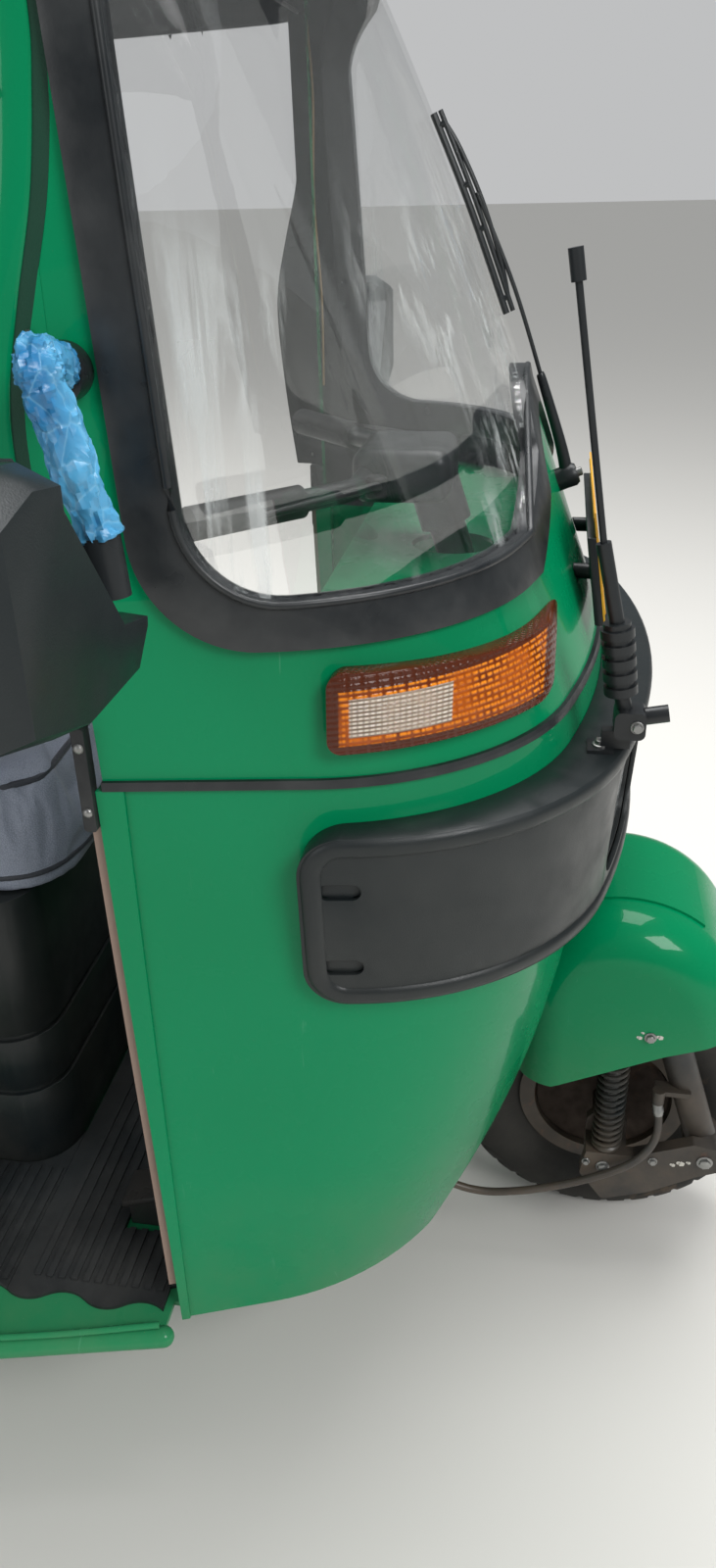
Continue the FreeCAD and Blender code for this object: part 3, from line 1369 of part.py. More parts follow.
def make_rear_details():
    """Lamps, bumper, engine, silencer, arms and dampers at the rear."""
    lamp_out = rear_width / 2 - rear_corner - 8.0
    lamp = box(-lamp_out, -lamp_out + tail_lamp_width, rear_end_station,
               rear_end_station + tail_lamp_depth, tail_lamp_low_z, tail_lamp_high_z)
    save("tail_lamps", pair(rounded(lamp, tail_lamp_corner, ALONG_Y)))
    top = floor_z - floor_thick
    middle_z = top - rail_height / 2
    bar_s = rear_end_station - rear_bar_radius - 3.0 + seat_gap
    half = rear_bar_half
    bar = bent_tube([V(-half, bar_s - rear_bar_return, middle_z), V(-half, bar_s, middle_z),
                     V(half, bar_s, middle_z), V(half, bar_s - rear_bar_return, middle_z)],
                    rear_bar_radius, 50.0)
    save("rear_bumper", bar)
    engine = box(-engine_half, engine_half, wheelbase - engine_ahead,
                 wheelbase - engine_ahead + engine_length, top + seat_gap, engine_top_z)
    save("engine_block", engine)
    reach = rail_x - rail_width / 2 - seat_gap
    save("silencer", cross_rod(-reach, reach, wheelbase + silencer_behind, silencer_z, silencer_radius))
    arms = []
    dampers = []
    arm_top = tyre_radius + arm_height / 2
    for side in (-1, 1):
        x = side * arm_x
        arm = box(x - arm_half, x + arm_half, wheelbase - arm_reach - arm_height / 2, wheelbase + 30,
                  tyre_radius - arm_height / 2, arm_top)
        arm = arm.cut(cross_rod(x - 30, x + 30, wheelbase - arm_reach, tyre_radius,
                                pivot_tube_radius + seat_gap))
        axle = cross_rod(x, side * (rear_track / 2 + 14.0), wheelbase, tyre_radius, axle_radius)
        arms.append(fuse([arm, axle]))
        damper = rod(V(x, wheelbase + damper_foot_behind, arm_top),
                     V(x, wheelbase - damper_top_ahead, damper_beam_z), damper_radius)
        room = box(x - 60, x + 60, wheelbase - 200, wheelbase + 200,
                   arm_top + seat_gap, damper_beam_z - seat_gap)
        dampers.append(damper.common(room))
    save("rear_arms", Part.makeCompound(arms))
    save("rear_dampers", Part.makeCompound(dampers))


def build():
    make_lower_cowl()
    make_wheelhouse()
    make_seam_trim()
    make_seam_brackets()
    make_upper_cowl()
    make_windscreen()
    make_bumper()
    make_headlamps()
    make_indicators()
    make_dash_shelf()
    make_head_tube()
    make_floor()
    make_floor_mats()
    make_brake_pedal()
    make_chassis()
    make_front_wheel()
    make_rear_wheels()
    make_mudguard()
    make_fork()
    make_trailing_link()
    make_front_spring()
    make_brake_plate()
    make_brake_hose()
    make_handlebar()
    make_driver_seat()
    make_bench()
    make_rear_body()
    make_hood()
    make_hood_frame()
    make_jamb_trims()
    make_wiper()
    make_mirrors()
    make_marker_pole()
    make_number_plate()
    make_rear_details()


build()
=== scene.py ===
import bpy
import bmesh
import math
from mathutils import Matrix, Vector, noise
from mathutils.bvhtree import BVHTree


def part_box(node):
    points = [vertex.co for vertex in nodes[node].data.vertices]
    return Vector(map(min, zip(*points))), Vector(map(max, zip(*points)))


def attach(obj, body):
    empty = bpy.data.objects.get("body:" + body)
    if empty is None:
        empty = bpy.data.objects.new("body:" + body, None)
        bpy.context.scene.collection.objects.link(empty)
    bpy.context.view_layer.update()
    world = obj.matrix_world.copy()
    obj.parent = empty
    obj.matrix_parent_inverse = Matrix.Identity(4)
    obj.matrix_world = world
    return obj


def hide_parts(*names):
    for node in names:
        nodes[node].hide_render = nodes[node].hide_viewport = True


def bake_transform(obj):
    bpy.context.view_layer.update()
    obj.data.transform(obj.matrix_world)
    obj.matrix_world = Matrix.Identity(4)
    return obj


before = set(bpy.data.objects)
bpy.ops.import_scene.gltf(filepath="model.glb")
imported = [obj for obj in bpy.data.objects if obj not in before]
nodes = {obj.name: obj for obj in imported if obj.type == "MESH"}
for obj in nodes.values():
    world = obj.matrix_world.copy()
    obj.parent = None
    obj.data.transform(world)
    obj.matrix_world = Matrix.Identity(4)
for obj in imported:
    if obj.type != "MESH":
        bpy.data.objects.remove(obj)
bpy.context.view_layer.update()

# Stations and heights below are millimetres in the part's own terms: a station is counted
# back from the front axle, -x is the driver's right hand.
FRONT_AXLE_Y = -1109.5
WHEELBASE = 2000.0
REAR_END = 2397.0
TYRE_RADIUS = 208.0
TYRE_WIDTH = 105.0
REAR_WHEEL_X = 575.0
WAIST_Z = 880.0
STEERING_RAKE = 18.0
STEERING_TRAIL = 90.0
HANDLEBAR_Z = 1045.0

# The wheel nuts: how far out from the tyre's middle plane, and the radius of their circle
STUD_FACE = 23.0
STUD_CIRCLE = 52.0

# The bench's backrest: how far it leans back over its height and how thick it is, in metres
BENCH_LEAN = 0.09
BENCH_THICK = 0.085

# Each wheel's label, x, station and body
WHEELS = (("front", 0.0, 0.0, "front_wheel"),
          ("rear_right", -REAR_WHEEL_X, WHEELBASE, "rear_wheel_right"),
          ("rear_left", REAR_WHEEL_X, WHEELBASE, "rear_wheel_left"))


def P(x, station, z):
    return Vector((x, FRONT_AXLE_Y + station, z)) / 1000.0


# ---------------------------------------------------------------- camera and stage

PHOTO_HEIGHT = 1600
FOCAL_PIXELS = 1149.0
SENSOR = 36.0
CAMERA_AT = Vector((-1.2303, -0.9897, 1.3137))
CAMERA_YAW = 9.95
CAMERA_PITCH = 27.95
CAMERA_ROLL = 1.31


def make_camera():
    """The photograph's own viewpoint, looking across the nose from the right-hand side."""
    yaw, pitch, roll = (math.radians(a) for a in (CAMERA_YAW, CAMERA_PITCH, CAMERA_ROLL))
    ahead = Vector((math.cos(yaw), math.sin(yaw), 0))
    right = Vector((math.sin(yaw), -math.cos(yaw), 0))
    up = Vector((0, 0, 1))
    look = ahead * math.cos(pitch) - up * math.sin(pitch)
    down = -ahead * math.sin(pitch) - up * math.cos(pitch)
    x_axis = right * math.cos(roll) + down * math.sin(roll)
    y_axis = -right * math.sin(roll) + down * math.cos(roll)
    data = bpy.data.cameras.new("camera")
    data.sensor_width = SENSOR
    data.lens = FOCAL_PIXELS / PHOTO_HEIGHT * SENSOR
    data.clip_start = 0.01
    data.clip_end = 200.0
    camera = bpy.data.objects.new("camera", data)
    turn = Matrix((x_axis, -y_axis, -look)).transposed().to_4x4()
    camera.matrix_world = Matrix.Translation(CAMERA_AT) @ turn
    bpy.context.collection.objects.link(camera)
    bpy.context.scene.camera = camera


def new_object(name, verts, faces, smooth=True):
    mesh = bpy.data.meshes.new(name)
    mesh.from_pydata([tuple(v) for v in verts], [], faces)
    mesh.validate()
    mesh.update()
    if smooth:
        mesh.polygons.foreach_set("use_smooth", [True] * len(mesh.polygons))
    obj = bpy.data.objects.new(name, mesh)
    bpy.context.collection.objects.link(obj)
    return obj


def area_light(name, at, aim, size, power):
    data = bpy.data.lights.new(name, "AREA")
    data.shape = "RECTANGLE"
    data.size, data.size_y = size
    data.energy = power
    lamp = bpy.data.objects.new(name, data)
    lamp.location = at
    lamp.rotation_mode = "QUATERNION"
    lamp.rotation_quaternion = (Vector(aim) - Vector(at)).to_track_quat("-Z", "Y")
    bpy.context.collection.objects.link(lamp)


def make_stage():
    """A pale floor, four soft lamps, and a world that is dimmer in reflections than as a light, and
    pale where it is seen straight or through glass."""
    size = 90.0
    floor = new_object("floor", [(-size, -size, 0), (size, -size, 0), (size, size, 0), (-size, size, 0)],
                       [(0, 1, 2, 3)])
    floor.data.materials.append(Shader("stage_floor", srgb(208, 206, 201), 0.95, Specular_IOR_Level=0.1).m)
    world = bpy.data.worlds.new("studio")
    world.use_nodes = True
    tree = world.node_tree
    put, link = tree.nodes.new, tree.links.new
    light, dim, pale = tree.nodes["Background"], put("ShaderNodeBackground"), put("ShaderNodeBackground")
    for node, color, strength in ((light, (0.93, 0.95, 0.97, 1), 0.62), (dim, (0.90, 0.95, 1.0, 1), 0.2),
                                  (pale, (0.93, 0.94, 0.95, 1), 0.56)):
        node.inputs["Color"].default_value = color
        node.inputs["Strength"].default_value = strength
    path = put("ShaderNodeLightPath")
    seen = put("ShaderNodeMath")
    seen.operation = "MAXIMUM"
    link(path.outputs["Is Camera Ray"], seen.inputs[0])
    link(path.outputs["Is Transmission Ray"], seen.inputs[1])
    shown = light.outputs[0]
    for share, other in ((path.outputs["Is Glossy Ray"], dim), (seen.outputs[0], pale)):
        mix = put("ShaderNodeMixShader")
        link(share, mix.inputs[0])
        link(shown, mix.inputs[1])
        link(other.outputs[0], mix.inputs[2])
        shown = mix.outputs[0]
    link(shown, tree.nodes["World Output"].inputs[0])
    bpy.context.scene.world = world
    area_light("key", (-3.2, -4.2, 4.4), (0, -0.6, 0.6), (2.2, 2.2), 175)
    area_light("top", (0.9, -0.6, 4.2), (0, -0.3, 0.6), (4.0, 2.2), 190)
    area_light("fill", (-4.5, 2.6, 2.4), (0, 0.2, 0.8), (2.0, 2.0), 40)
    area_light("rear", (2.6, 4.4, 3.2), (0, 0.6, 0.8), (3.0, 2.4), 80)


# ---------------------------------------------------------------- materials


def srgb(r, g, b):
    """Linear colour from 0-255 screen values."""
    out = []
    for c in (r, g, b):
        c = c / 255.0
        out.append(c / 12.92 if c <= 0.04045 else ((c + 0.055) / 1.055) ** 2.4)
    return (*out, 1.0)


class Shader:
    """A Principled material with short calls for the nodes that feed it."""

    def __init__(self, name, color, rough, metallic=0.0, **sockets):
        self.m = bpy.data.materials.new(name)
        self.m.use_nodes = True
        self.t = self.m.node_tree
        self.b = self.t.nodes["Principled BSDF"]
        self.b.inputs["Base Color"].default_value = color
        self.b.inputs["Roughness"].default_value = rough
        self.b.inputs["Metallic"].default_value = metallic
        for key, value in sockets.items():
            self.b.inputs[key.replace("_", " ")].default_value = value
        self.m.diffuse_color = color
        self.coord = self.t.nodes.new("ShaderNodeTexCoord").outputs["Object"]
        self.height = None

    def put(self, target, value):
        if isinstance(value, bpy.types.NodeSocket):
            self.t.links.new(value, target)
        else:
            target.default_value = value

    def scaled(self, x, y, z):
        node = self.t.nodes.new("ShaderNodeMapping")
        self.put(node.inputs["Vector"], self.coord)
        node.inputs["Scale"].default_value = (x, y, z)
        return node.outputs[0]

    def noise(self, scale, detail=4.0, rough=0.55, warp=0.0, at=None):
        node = self.t.nodes.new("ShaderNodeTexNoise")
        self.put(node.inputs["Vector"], at or self.coord)
        node.inputs["Scale"].default_value = scale
        node.inputs["Detail"].default_value = detail
        node.inputs["Roughness"].default_value = rough
        node.inputs["Distortion"].default_value = warp
        return node.outputs["Fac"]

    def cells(self, scale, feature="F1", at=None):
        node = self.t.nodes.new("ShaderNodeTexVoronoi")
        node.feature = feature
        self.put(node.inputs["Vector"], at or self.coord)
        node.inputs["Scale"].default_value = scale
        return node.outputs["Distance"]

    def wave(self, scale, axis, warp=0.0, at=None, profile="SIN"):
        node = self.t.nodes.new("ShaderNodeTexWave")
        node.bands_direction = axis
        node.wave_profile = profile
        self.put(node.inputs["Vector"], at or self.coord)
        node.inputs["Scale"].default_value = scale
        node.inputs["Distortion"].default_value = warp
        return node.outputs["Fac"]

    def axis(self, name):
        node = self.t.nodes.new("ShaderNodeSeparateXYZ")
        self.put(node.inputs[0], self.coord)
        return node.outputs[name]

    def normal(self, name):
        node = self.t.nodes.new("ShaderNodeSeparateXYZ")
        self.put(node.inputs[0], self.t.nodes.new("ShaderNodeTexCoord").outputs["Normal"])
        return node.outputs[name]

    def math(self, op, a, b=0.0):
        node = self.t.nodes.new("ShaderNodeMath")
        node.operation = op
        self.put(node.inputs[0], a)
        self.put(node.inputs[1], b)
        return node.outputs[0]

    def ramp(self, fac, low, high, a=0.0, b=1.0):
        """a below low, b above high, a straight slope between."""
        node = self.t.nodes.new("ShaderNodeMapRange")
        node.clamp = True
        self.put(node.inputs["Value"], fac)
        node.inputs["From Min"].default_value = low
        node.inputs["From Max"].default_value = high
        node.inputs["To Min"].default_value = a
        node.inputs["To Max"].default_value = b
        return node.outputs["Result"]

    def mix(self, fac, a, b):
        node = self.t.nodes.new("ShaderNodeMix")
        node.data_type = "RGBA"
        self.put(node.inputs["Factor"], fac)
        self.put(node.inputs[6], a)
        self.put(node.inputs[7], b)
        return node.outputs[2]

    def color(self, value):
        self.put(self.b.inputs["Base Color"], value)

    def rough(self, value):
        self.put(self.b.inputs["Roughness"], value)

    def bump(self, height, strength, distance):
        node = self.t.nodes.new("ShaderNodeBump")
        self.put(node.inputs["Height"], height)
        node.inputs["Strength"].default_value = strength
        node.inputs["Distance"].default_value = distance
        if self.height is not None:
            self.put(node.inputs["Normal"], self.height)
        self.height = node.outputs["Normal"]
        self.put(self.b.inputs["Normal"], self.height)


DUST = srgb(150, 128, 104)


def dusty(s, base, low, high, share, scale=6.0):
    """base with road dust that grows from height high down to height low."""
    rise = s.ramp(s.axis("Z"), low, high, 1.0, 0.0)
    spread = s.ramp(s.noise(scale, 6.0, 0.65), 0.32, 0.72)
    fac = s.math("MULTIPLY", s.math("MULTIPLY", rise, spread), share)
    return s.mix(fac, base, DUST), fac


def body_paint(name, painted_inner_shade=False):
    """Glossy green with faint fading, scratches and dust; optionally with painted shade, near-black, on what
    faces the cab.
    """
    s = Shader(name, srgb(0, 122, 76), 0.3, Coat_Weight=0.34, Coat_Roughness=0.03,
               Specular_IOR_Level=0.05)
    tone = s.ramp(s.noise(1.6, 2.0), 0.3, 0.7)
    base = s.mix(tone, srgb(0, 118, 72), srgb(2, 130, 84))
    faded = s.ramp(s.noise(34.0, 5.0, 0.7), 0.66, 0.84, 0.0, 0.14)
    base = s.mix(faded, base, srgb(42, 140, 98))
    scratch = s.ramp(s.noise(11.0, 3.0, 0.6, 1.5, s.scaled(1.0, 9.0, 0.7)), 0.71, 0.75, 0.0, 0.22)
    base = s.mix(scratch, base, srgb(96, 158, 128))
    base, dust = dusty(s, base, 0.24, 0.45, 0.16)
    speck = s.ramp(s.cells(120.0), 0.05, 0.02, 0.0, 0.5)
    base = s.mix(s.math("MULTIPLY", speck, s.ramp(s.axis("Z"), 0.3, 1.0, 1.0, 0.2)), base, DUST)
    if painted_inner_shade:
        # painted shade: faces turned in toward the cab, or facing back toward it at the front, are painted
        # near-black
        side = s.math("MULTIPLY", s.normal("X"), s.math("SIGN", s.axis("X")))
        inward = s.ramp(side, -0.25, -0.1, 1.0, 0.0)
        back = s.math("MULTIPLY", s.ramp(s.normal("Y"), 0.42, 0.55),
                      s.ramp(s.axis("Y"), -0.66, -0.65, 1.0, 0.0))
        base = s.mix(s.math("MAXIMUM", inward, back), base, srgb(26, 30, 32))
    s.color(base)
    grain = s.ramp(s.noise(18.0, 4.0), 0.3, 0.7, 0.2, 0.34)
    s.rough(s.math("ADD", grain, s.math("MULTIPLY", dust, 0.6)))
    s.bump(s.noise(260.0, 2.0), 0.03, 0.001)
    s.bump(s.noise(5.0, 2.0), 0.10, 0.004)
    return s.m


def moulded(name, color, worn, rough=0.5, grain=900.0, depth=0.2, dust=0.08):
    """Grained moulded plastic, paler where it is rubbed."""
    s = Shader(name, color, rough, Specular_IOR_Level=0.4)
    base = s.mix(s.ramp(s.noise(3.0, 5.0, 0.6), 0.35, 0.75, 0.0, 0.6), color, worn)
    scuff = s.ramp(s.noise(40.0, 4.0, 0.7, 1.0, s.scaled(1.0, 1.0, 4.0)), 0.66, 0.74, 0.0, 0.5)
    base = s.mix(scuff, base, worn)
    base, _ = dusty(s, base, 0.2, 1.0, dust)
    s.color(base)
    s.rough(s.ramp(s.noise(25.0, 3.0), 0.3, 0.7, rough - 0.07, rough + 0.1))
    s.bump(s.cells(grain, "SMOOTH_F1"), depth, 0.0006)
    return s.m


def rubber(name, color, rough=0.55, dust=0.08):
    s = Shader(name, color, rough, Specular_IOR_Level=0.45)
    base = s.mix(s.ramp(s.noise(7.0, 5.0, 0.65), 0.4, 0.75, 0.0, 0.5), color, srgb(74, 76, 76))
    base, _ = dusty(s, base, 0.1, 0.9, dust)
    s.color(base)
    s.rough(s.ramp(s.noise(30.0, 3.0), 0.3, 0.7, rough - 0.1, rough + 0.12))
    s.bump(s.noise(420.0, 3.0), 0.12, 0.0006)
    return s.m


def steel_paint(name, color, rough=0.42, rust=0.35):
    """Satin chassis paint with rust spots and road dust."""
    s = Shader(name, color, rough, Specular_IOR_Level=0.5)
    spots = s.ramp(s.noise(22.0, 6.0, 0.7), 0.6, 0.72, 0.0, rust)
    base = s.mix(spots, color, srgb(112, 66, 40))
    base, dust = dusty(s, base, 0.05, 0.55, 0.34, 9.0)
    s.color(base)
    s.rough(s.math("ADD", s.ramp(s.noise(16.0, 4.0), 0.3, 0.7, rough - 0.1, rough + 0.12),
                   s.math("MULTIPLY", dust, 0.4)))
    s.bump(s.noise(180.0, 5.0, 0.7), 0.18, 0.0008)
    return s.m


def bare_metal(name, color, rough=0.35, rust=0.25, scale=30.0):
    s = Shader(name, color, rough, 0.9)
    spots = s.ramp(s.noise(scale, 6.0, 0.7), 0.58, 0.72, 0.0, rust)
    s.color(s.mix(spots, color, srgb(104, 74, 54)))
    s.rough(s.ramp(s.noise(60.0, 4.0), 0.3, 0.7, rough - 0.1, rough + 0.2))
    s.bump(s.noise(300.0, 4.0, 0.6), 0.15, 0.0004)
    return s.m


def lens(name, color, deep, prism_glint, edge=None):
    """Moulded lamp plastic with rows of small prisms, their facets painted with glints and shade."""
    s = Shader(name, color, 0.2, Specular_IOR_Level=0.25, Coat_Weight=0.22, Coat_Roughness=0.03)
    s.b.inputs["Subsurface Weight"].default_value = 0.15
    s.b.inputs["Subsurface Radius"].default_value = (0.02, 0.008, 0.003)
    s.b.inputs["Subsurface Scale"].default_value = 0.6
    rows = s.wave(64.0, "Z")
    columns = s.wave(58.0, "X")
    lines = s.wave(58.0, "Y")
    grid = s.math("MULTIPLY", rows, s.math("MAXIMUM", columns, lines))
    # painted glints and shade: the prism grid runs from the deep colour, painted shade, to the bright one, a
    # painted highlight
    base = s.mix(s.ramp(grid, 0.1, 0.85), deep, prism_glint)
    base = s.mix(s.ramp(s.noise(22.0, 3.0), 0.4, 0.62, 0.0, 0.75), base, color)
    if edge:
        base = edge(s, base)
    s.color(base)
    s.bump(grid, 0.6, 0.0012)
    return s.m


def amber_edges(s, base):
    """The front lamps: a deep orange rim, and a clear window in their rear half."""
    z, y = s.axis("Z"), s.axis("Y")

    def along(first, second):
        return s.ramp(y, P(0, first, 0).y, P(0, second, 0).y)

    rim = s.math("MAXIMUM", s.ramp(z, 0.9695, 0.9705), s.ramp(z, 0.9265, 0.9255))
    rim = s.math("MAXIMUM", rim, along(270.0, 271.5))
    rim = s.math("MAXIMUM", rim, along(116.0, 114.0))
    inside_y = s.math("MULTIPLY", along(186.0, 187.0), along(264.0, 262.0))
    inside_z = s.math("MULTIPLY", s.ramp(z, 0.932, 0.933), s.ramp(z, 0.964, 0.963))
    window = s.math("MULTIPLY", inside_y, inside_z)
    # painted glints and shade: the clear window's prism grid is painted pale and dark
    pattern = s.math("MULTIPLY", s.ramp(s.wave(96.0, "Z"), 0.2, 0.8),
                     s.ramp(s.wave(70.0, "Y"), 0.1, 0.6, 0.5, 1.0))
    clear = s.mix(pattern, srgb(116, 100, 86), srgb(214, 202, 188))
    cloudy = s.ramp(s.noise(30.0, 3.0), 0.4, 0.65, 0.0, 0.6)
    base = s.mix(window, base, s.mix(cloudy, clear, srgb(172, 152, 134)))
    return s.mix(rim, base, srgb(78, 34, 16))


def clear_pane(name, tint, alpha, rough=0.03):
    s = Shader(name, tint, rough, Alpha=alpha, IOR=1.46)
    s.b.inputs["Transmission Weight"].default_value = 1.0
    smear = s.ramp(s.noise(4.0, 5.0, 0.6, 0.8, s.scaled(1.0, 3.0, 0.6)), 0.5, 0.8)
    # painted reflection: pale streaks, fading out between 1.22 m and 1.36 m high, less clear and whiter, stand
    # for reflected light
    painted_reflection_streak = s.ramp(s.noise(40.0, 4.0, 0.6, 0.3, s.scaled(1.0, 1.0, 0.08)), 0.53, 0.62, 0.0, 0.75)
    painted_reflection_streak = s.math("MULTIPLY", painted_reflection_streak, s.ramp(s.noise(3.4, 2.0), 0.44, 0.54))
    painted_reflection_streak = s.math("MULTIPLY", painted_reflection_streak, s.ramp(s.axis("Z"), 1.36, 1.22))
    s.put(s.b.inputs["Transmission Weight"], s.ramp(painted_reflection_streak, 0.0, 1.0, 1.0, 0.2))
    s.put(s.b.inputs["Alpha"], s.math("ADD", s.math("MULTIPLY", painted_reflection_streak, 0.45), alpha))
    s.rough(s.ramp(smear, 0.0, 1.0, rough, rough + 0.04))
    # whiter where smears lie, which are dirt, and where the streaks lie, which are painted reflection
    s.color(s.mix(s.math("MAXIMUM", smear, painted_reflection_streak), tint, srgb(232, 236, 236)))
    s.bump(s.noise(3.0, 2.0), 0.02, 0.002)
    return s.m


def leatherette(name, color, pale):
    s = Shader(name, color, 0.42, Specular_IOR_Level=0.5, Sheen_Weight=0.08)
    base = s.mix(s.ramp(s.noise(5.0, 5.0, 0.6), 0.3, 0.75), color, pale)
    grain = s.cells(420.0, "DISTANCE_TO_EDGE")
    base = s.mix(s.ramp(grain, 0.0, 0.12, 0.35, 0.0), base, srgb(22, 24, 28))
    base = s.mix(s.ramp(s.noise(14.0, 6.0, 0.7), 0.6, 0.8, 0.0, 0.3), base, DUST)
    s.color(base)
    s.rough(s.ramp(s.noise(20.0, 4.0), 0.3, 0.7, 0.36, 0.52))
    s.bump(s.ramp(grain, 0.0, 0.2), 0.35, 0.0007)
    s.bump(s.noise(30.0, 4.0), 0.15, 0.003)
    return s.m


def coated_canvas(name, color, pale):
    s = Shader(name, color, 0.6, Sheen_Weight=0.15, Specular_IOR_Level=0.35)
    base = s.mix(s.ramp(s.noise(2.6, 6.0, 0.65), 0.35, 0.75), color, pale)
    stain = s.ramp(s.noise(9.0, 6.0, 0.7, 0.6), 0.58, 0.74, 0.0, 0.45)
    base = s.mix(stain, base, DUST)
    s.color(base)
    weave = s.math("MULTIPLY", s.wave(210.0, "X"), s.math("MULTIPLY", s.wave(210.0, "Y"), s.wave(210.0, "Z")))
    s.rough(s.ramp(s.noise(8.0, 4.0), 0.3, 0.7, 0.5, 0.7))
    s.bump(weave, 0.25, 0.0006)
    s.bump(s.noise(12.0, 5.0, 0.6), 0.3, 0.006)
    return s.m


def tyre_rubber(name):
    s = Shader(name, srgb(34, 33, 32), 0.72, Specular_IOR_Level=0.3)
    base = s.mix(s.ramp(s.noise(5.0, 6.0, 0.7), 0.35, 0.7), srgb(30, 30, 29), srgb(52, 50, 46))
    mud = s.ramp(s.noise(9.0, 6.0, 0.7, 0.4), 0.58, 0.76, 0.0, 0.6)
    s.color(s.mix(mud, base, srgb(124, 104, 82)))
    s.bump(s.noise(130.0, 5.0, 0.7), 0.3, 0.0012)
    return s.m


def film(name):
    """Thin crinkled plastic film wound round a stalk."""
    s = Shader(name, srgb(80, 166, 214), 0.3, Specular_IOR_Level=0.5, Coat_Weight=0.3)
    s.b.inputs["Coat Roughness"].default_value = 0.12
    fold = s.noise(16.0, 3.0, 0.5, 1.2, s.scaled(1.0, 1.0, 0.5))
    base = s.mix(s.ramp(fold, 0.4, 0.62), srgb(42, 120, 172), srgb(84, 164, 208))
    crumple = s.cells(52.0, "DISTANCE_TO_EDGE", s.scaled(1.0, 1.0, 0.7))
    crease = s.ramp(crumple, 0.0, 0.05, 0.28, 0.0)
    s.color(s.mix(crease, base, srgb(150, 206, 232)))
    s.bump(s.ramp(crumple, 0.0, 0.4), 0.6, 0.004)
    s.bump(s.noise(70.0, 3.0), 0.25, 0.002)
    return s.m


def mirror_face(name):
    """Silvered glass with smears and a little dust."""
    s = Shader(name, srgb(214, 220, 224), 0.04, 1.0)
    smear = s.ramp(s.noise(14.0, 5.0, 0.6, 0.8), 0.5, 0.75)
    s.color(s.mix(s.math("MULTIPLY", smear, 0.3), srgb(214, 220, 224), DUST))
    s.rough(s.ramp(smear, 0.0, 1.0, 0.03, 0.2))
    return s.m


def plate_face(name):
    s = Shader(name, srgb(214, 160, 36), 0.4)
    base = s.mix(s.ramp(s.noise(9.0, 5.0), 0.35, 0.7), srgb(214, 160, 36), srgb(196, 140, 40))
    s.color(s.mix(s.ramp(s.noise(26.0, 6.0, 0.7), 0.6, 0.75, 0.0, 0.5), base, srgb(120, 92, 60)))
    s.bump(s.noise(60.0, 3.0), 0.1, 0.001)
    return s.m


MATERIALS = {
    "body": body_paint("body_green_paint"),
    "cowl": body_paint("cowl_green_paint", True),
    "plastic": moulded("grained_black_plastic", srgb(19, 26, 28), srgb(36, 44, 46), 0.38),
    "smooth_plastic": moulded("smooth_black_plastic", srgb(24, 27, 29), srgb(50, 54, 56), 0.32, 1500.0, 0.1),
    "gasket": rubber("gasket_rubber", srgb(24, 28, 31), 0.36, 0.05),
    "rubber": rubber("black_rubber", srgb(24, 26, 28)),
    "mat": rubber("mat_rubber", srgb(25, 31, 34), 0.5, 0.05),
    # painted shade: a dark green for the shaded groove beside each doorway's flange
    "groove_shade": moulded("shaded_recess_green", srgb(3, 58, 40), srgb(5, 66, 46), 0.5),
    "wire": moulded("tan_wire", srgb(150, 122, 84), srgb(128, 100, 66), 0.5),
    "beige": moulded("beige_liner", srgb(150, 128, 116), srgb(116, 98, 88), 0.6, 500.0, 0.2),
    "glass": clear_pane("screen_glass", srgb(244, 250, 248), 0.16, 0.01),
    "soft_window": clear_pane("clear_vinyl", srgb(206, 208, 200), 0.45, 0.16),
    "lamp_glass": clear_pane("lamp_glass", srgb(240, 244, 246), 0.35, 0.02),
    "mirror": mirror_face("mirror_glass"),
    "amber": lens("amber_lens", srgb(176, 84, 6), srgb(104, 40, 4), srgb(240, 140, 20), amber_edges),
    "red": lens("red_lens", srgb(150, 16, 16), srgb(96, 8, 10), srgb(186, 34, 28)),
    "plate": plate_face("plain_plate"),
    "tyre": tyre_rubber("tyre_rubber"),
    "wheel": steel_paint("wheel_paint", srgb(48, 44, 40), 0.5, 0.5),
    "steel": steel_paint("chassis_black", srgb(28, 30, 31)),
    "spring": steel_paint("spring_black", srgb(26, 30, 30), 0.32, 0.08),
    "cast": bare_metal("cast_alloy", srgb(136, 134, 130), 0.55, 0.45, 14.0),
    "brake": bare_metal("brake_plate_rust", srgb(58, 50, 45), 0.62, 0.35, 18.0),
    "silencer": bare_metal("stained_steel", srgb(110, 98, 88), 0.4, 0.6, 8.0),
    "bright": bare_metal("bright_zinc", srgb(150, 150, 148), 0.36, 0.45),
    "white": moulded("chipped_white_paint", srgb(206, 204, 196), srgb(160, 152, 140), 0.5, 300.0, 0.2),
    # the seat's grey-blue is lightened past its own colour: partly its own colour, partly painted sheen
    "seat": leatherette("grey_leatherette", srgb(124, 132, 148), srgb(144, 151, 166)),
    "piping": leatherette("dark_piping", srgb(40, 43, 50), srgb(58, 62, 70)),
    "canvas": coated_canvas("black_canvas", srgb(34, 36, 40), srgb(52, 54, 57)),
    "film": film("blue_film"),
    "hose": rubber("hose_rubber", srgb(26, 28, 30), 0.4, 0.35),
}

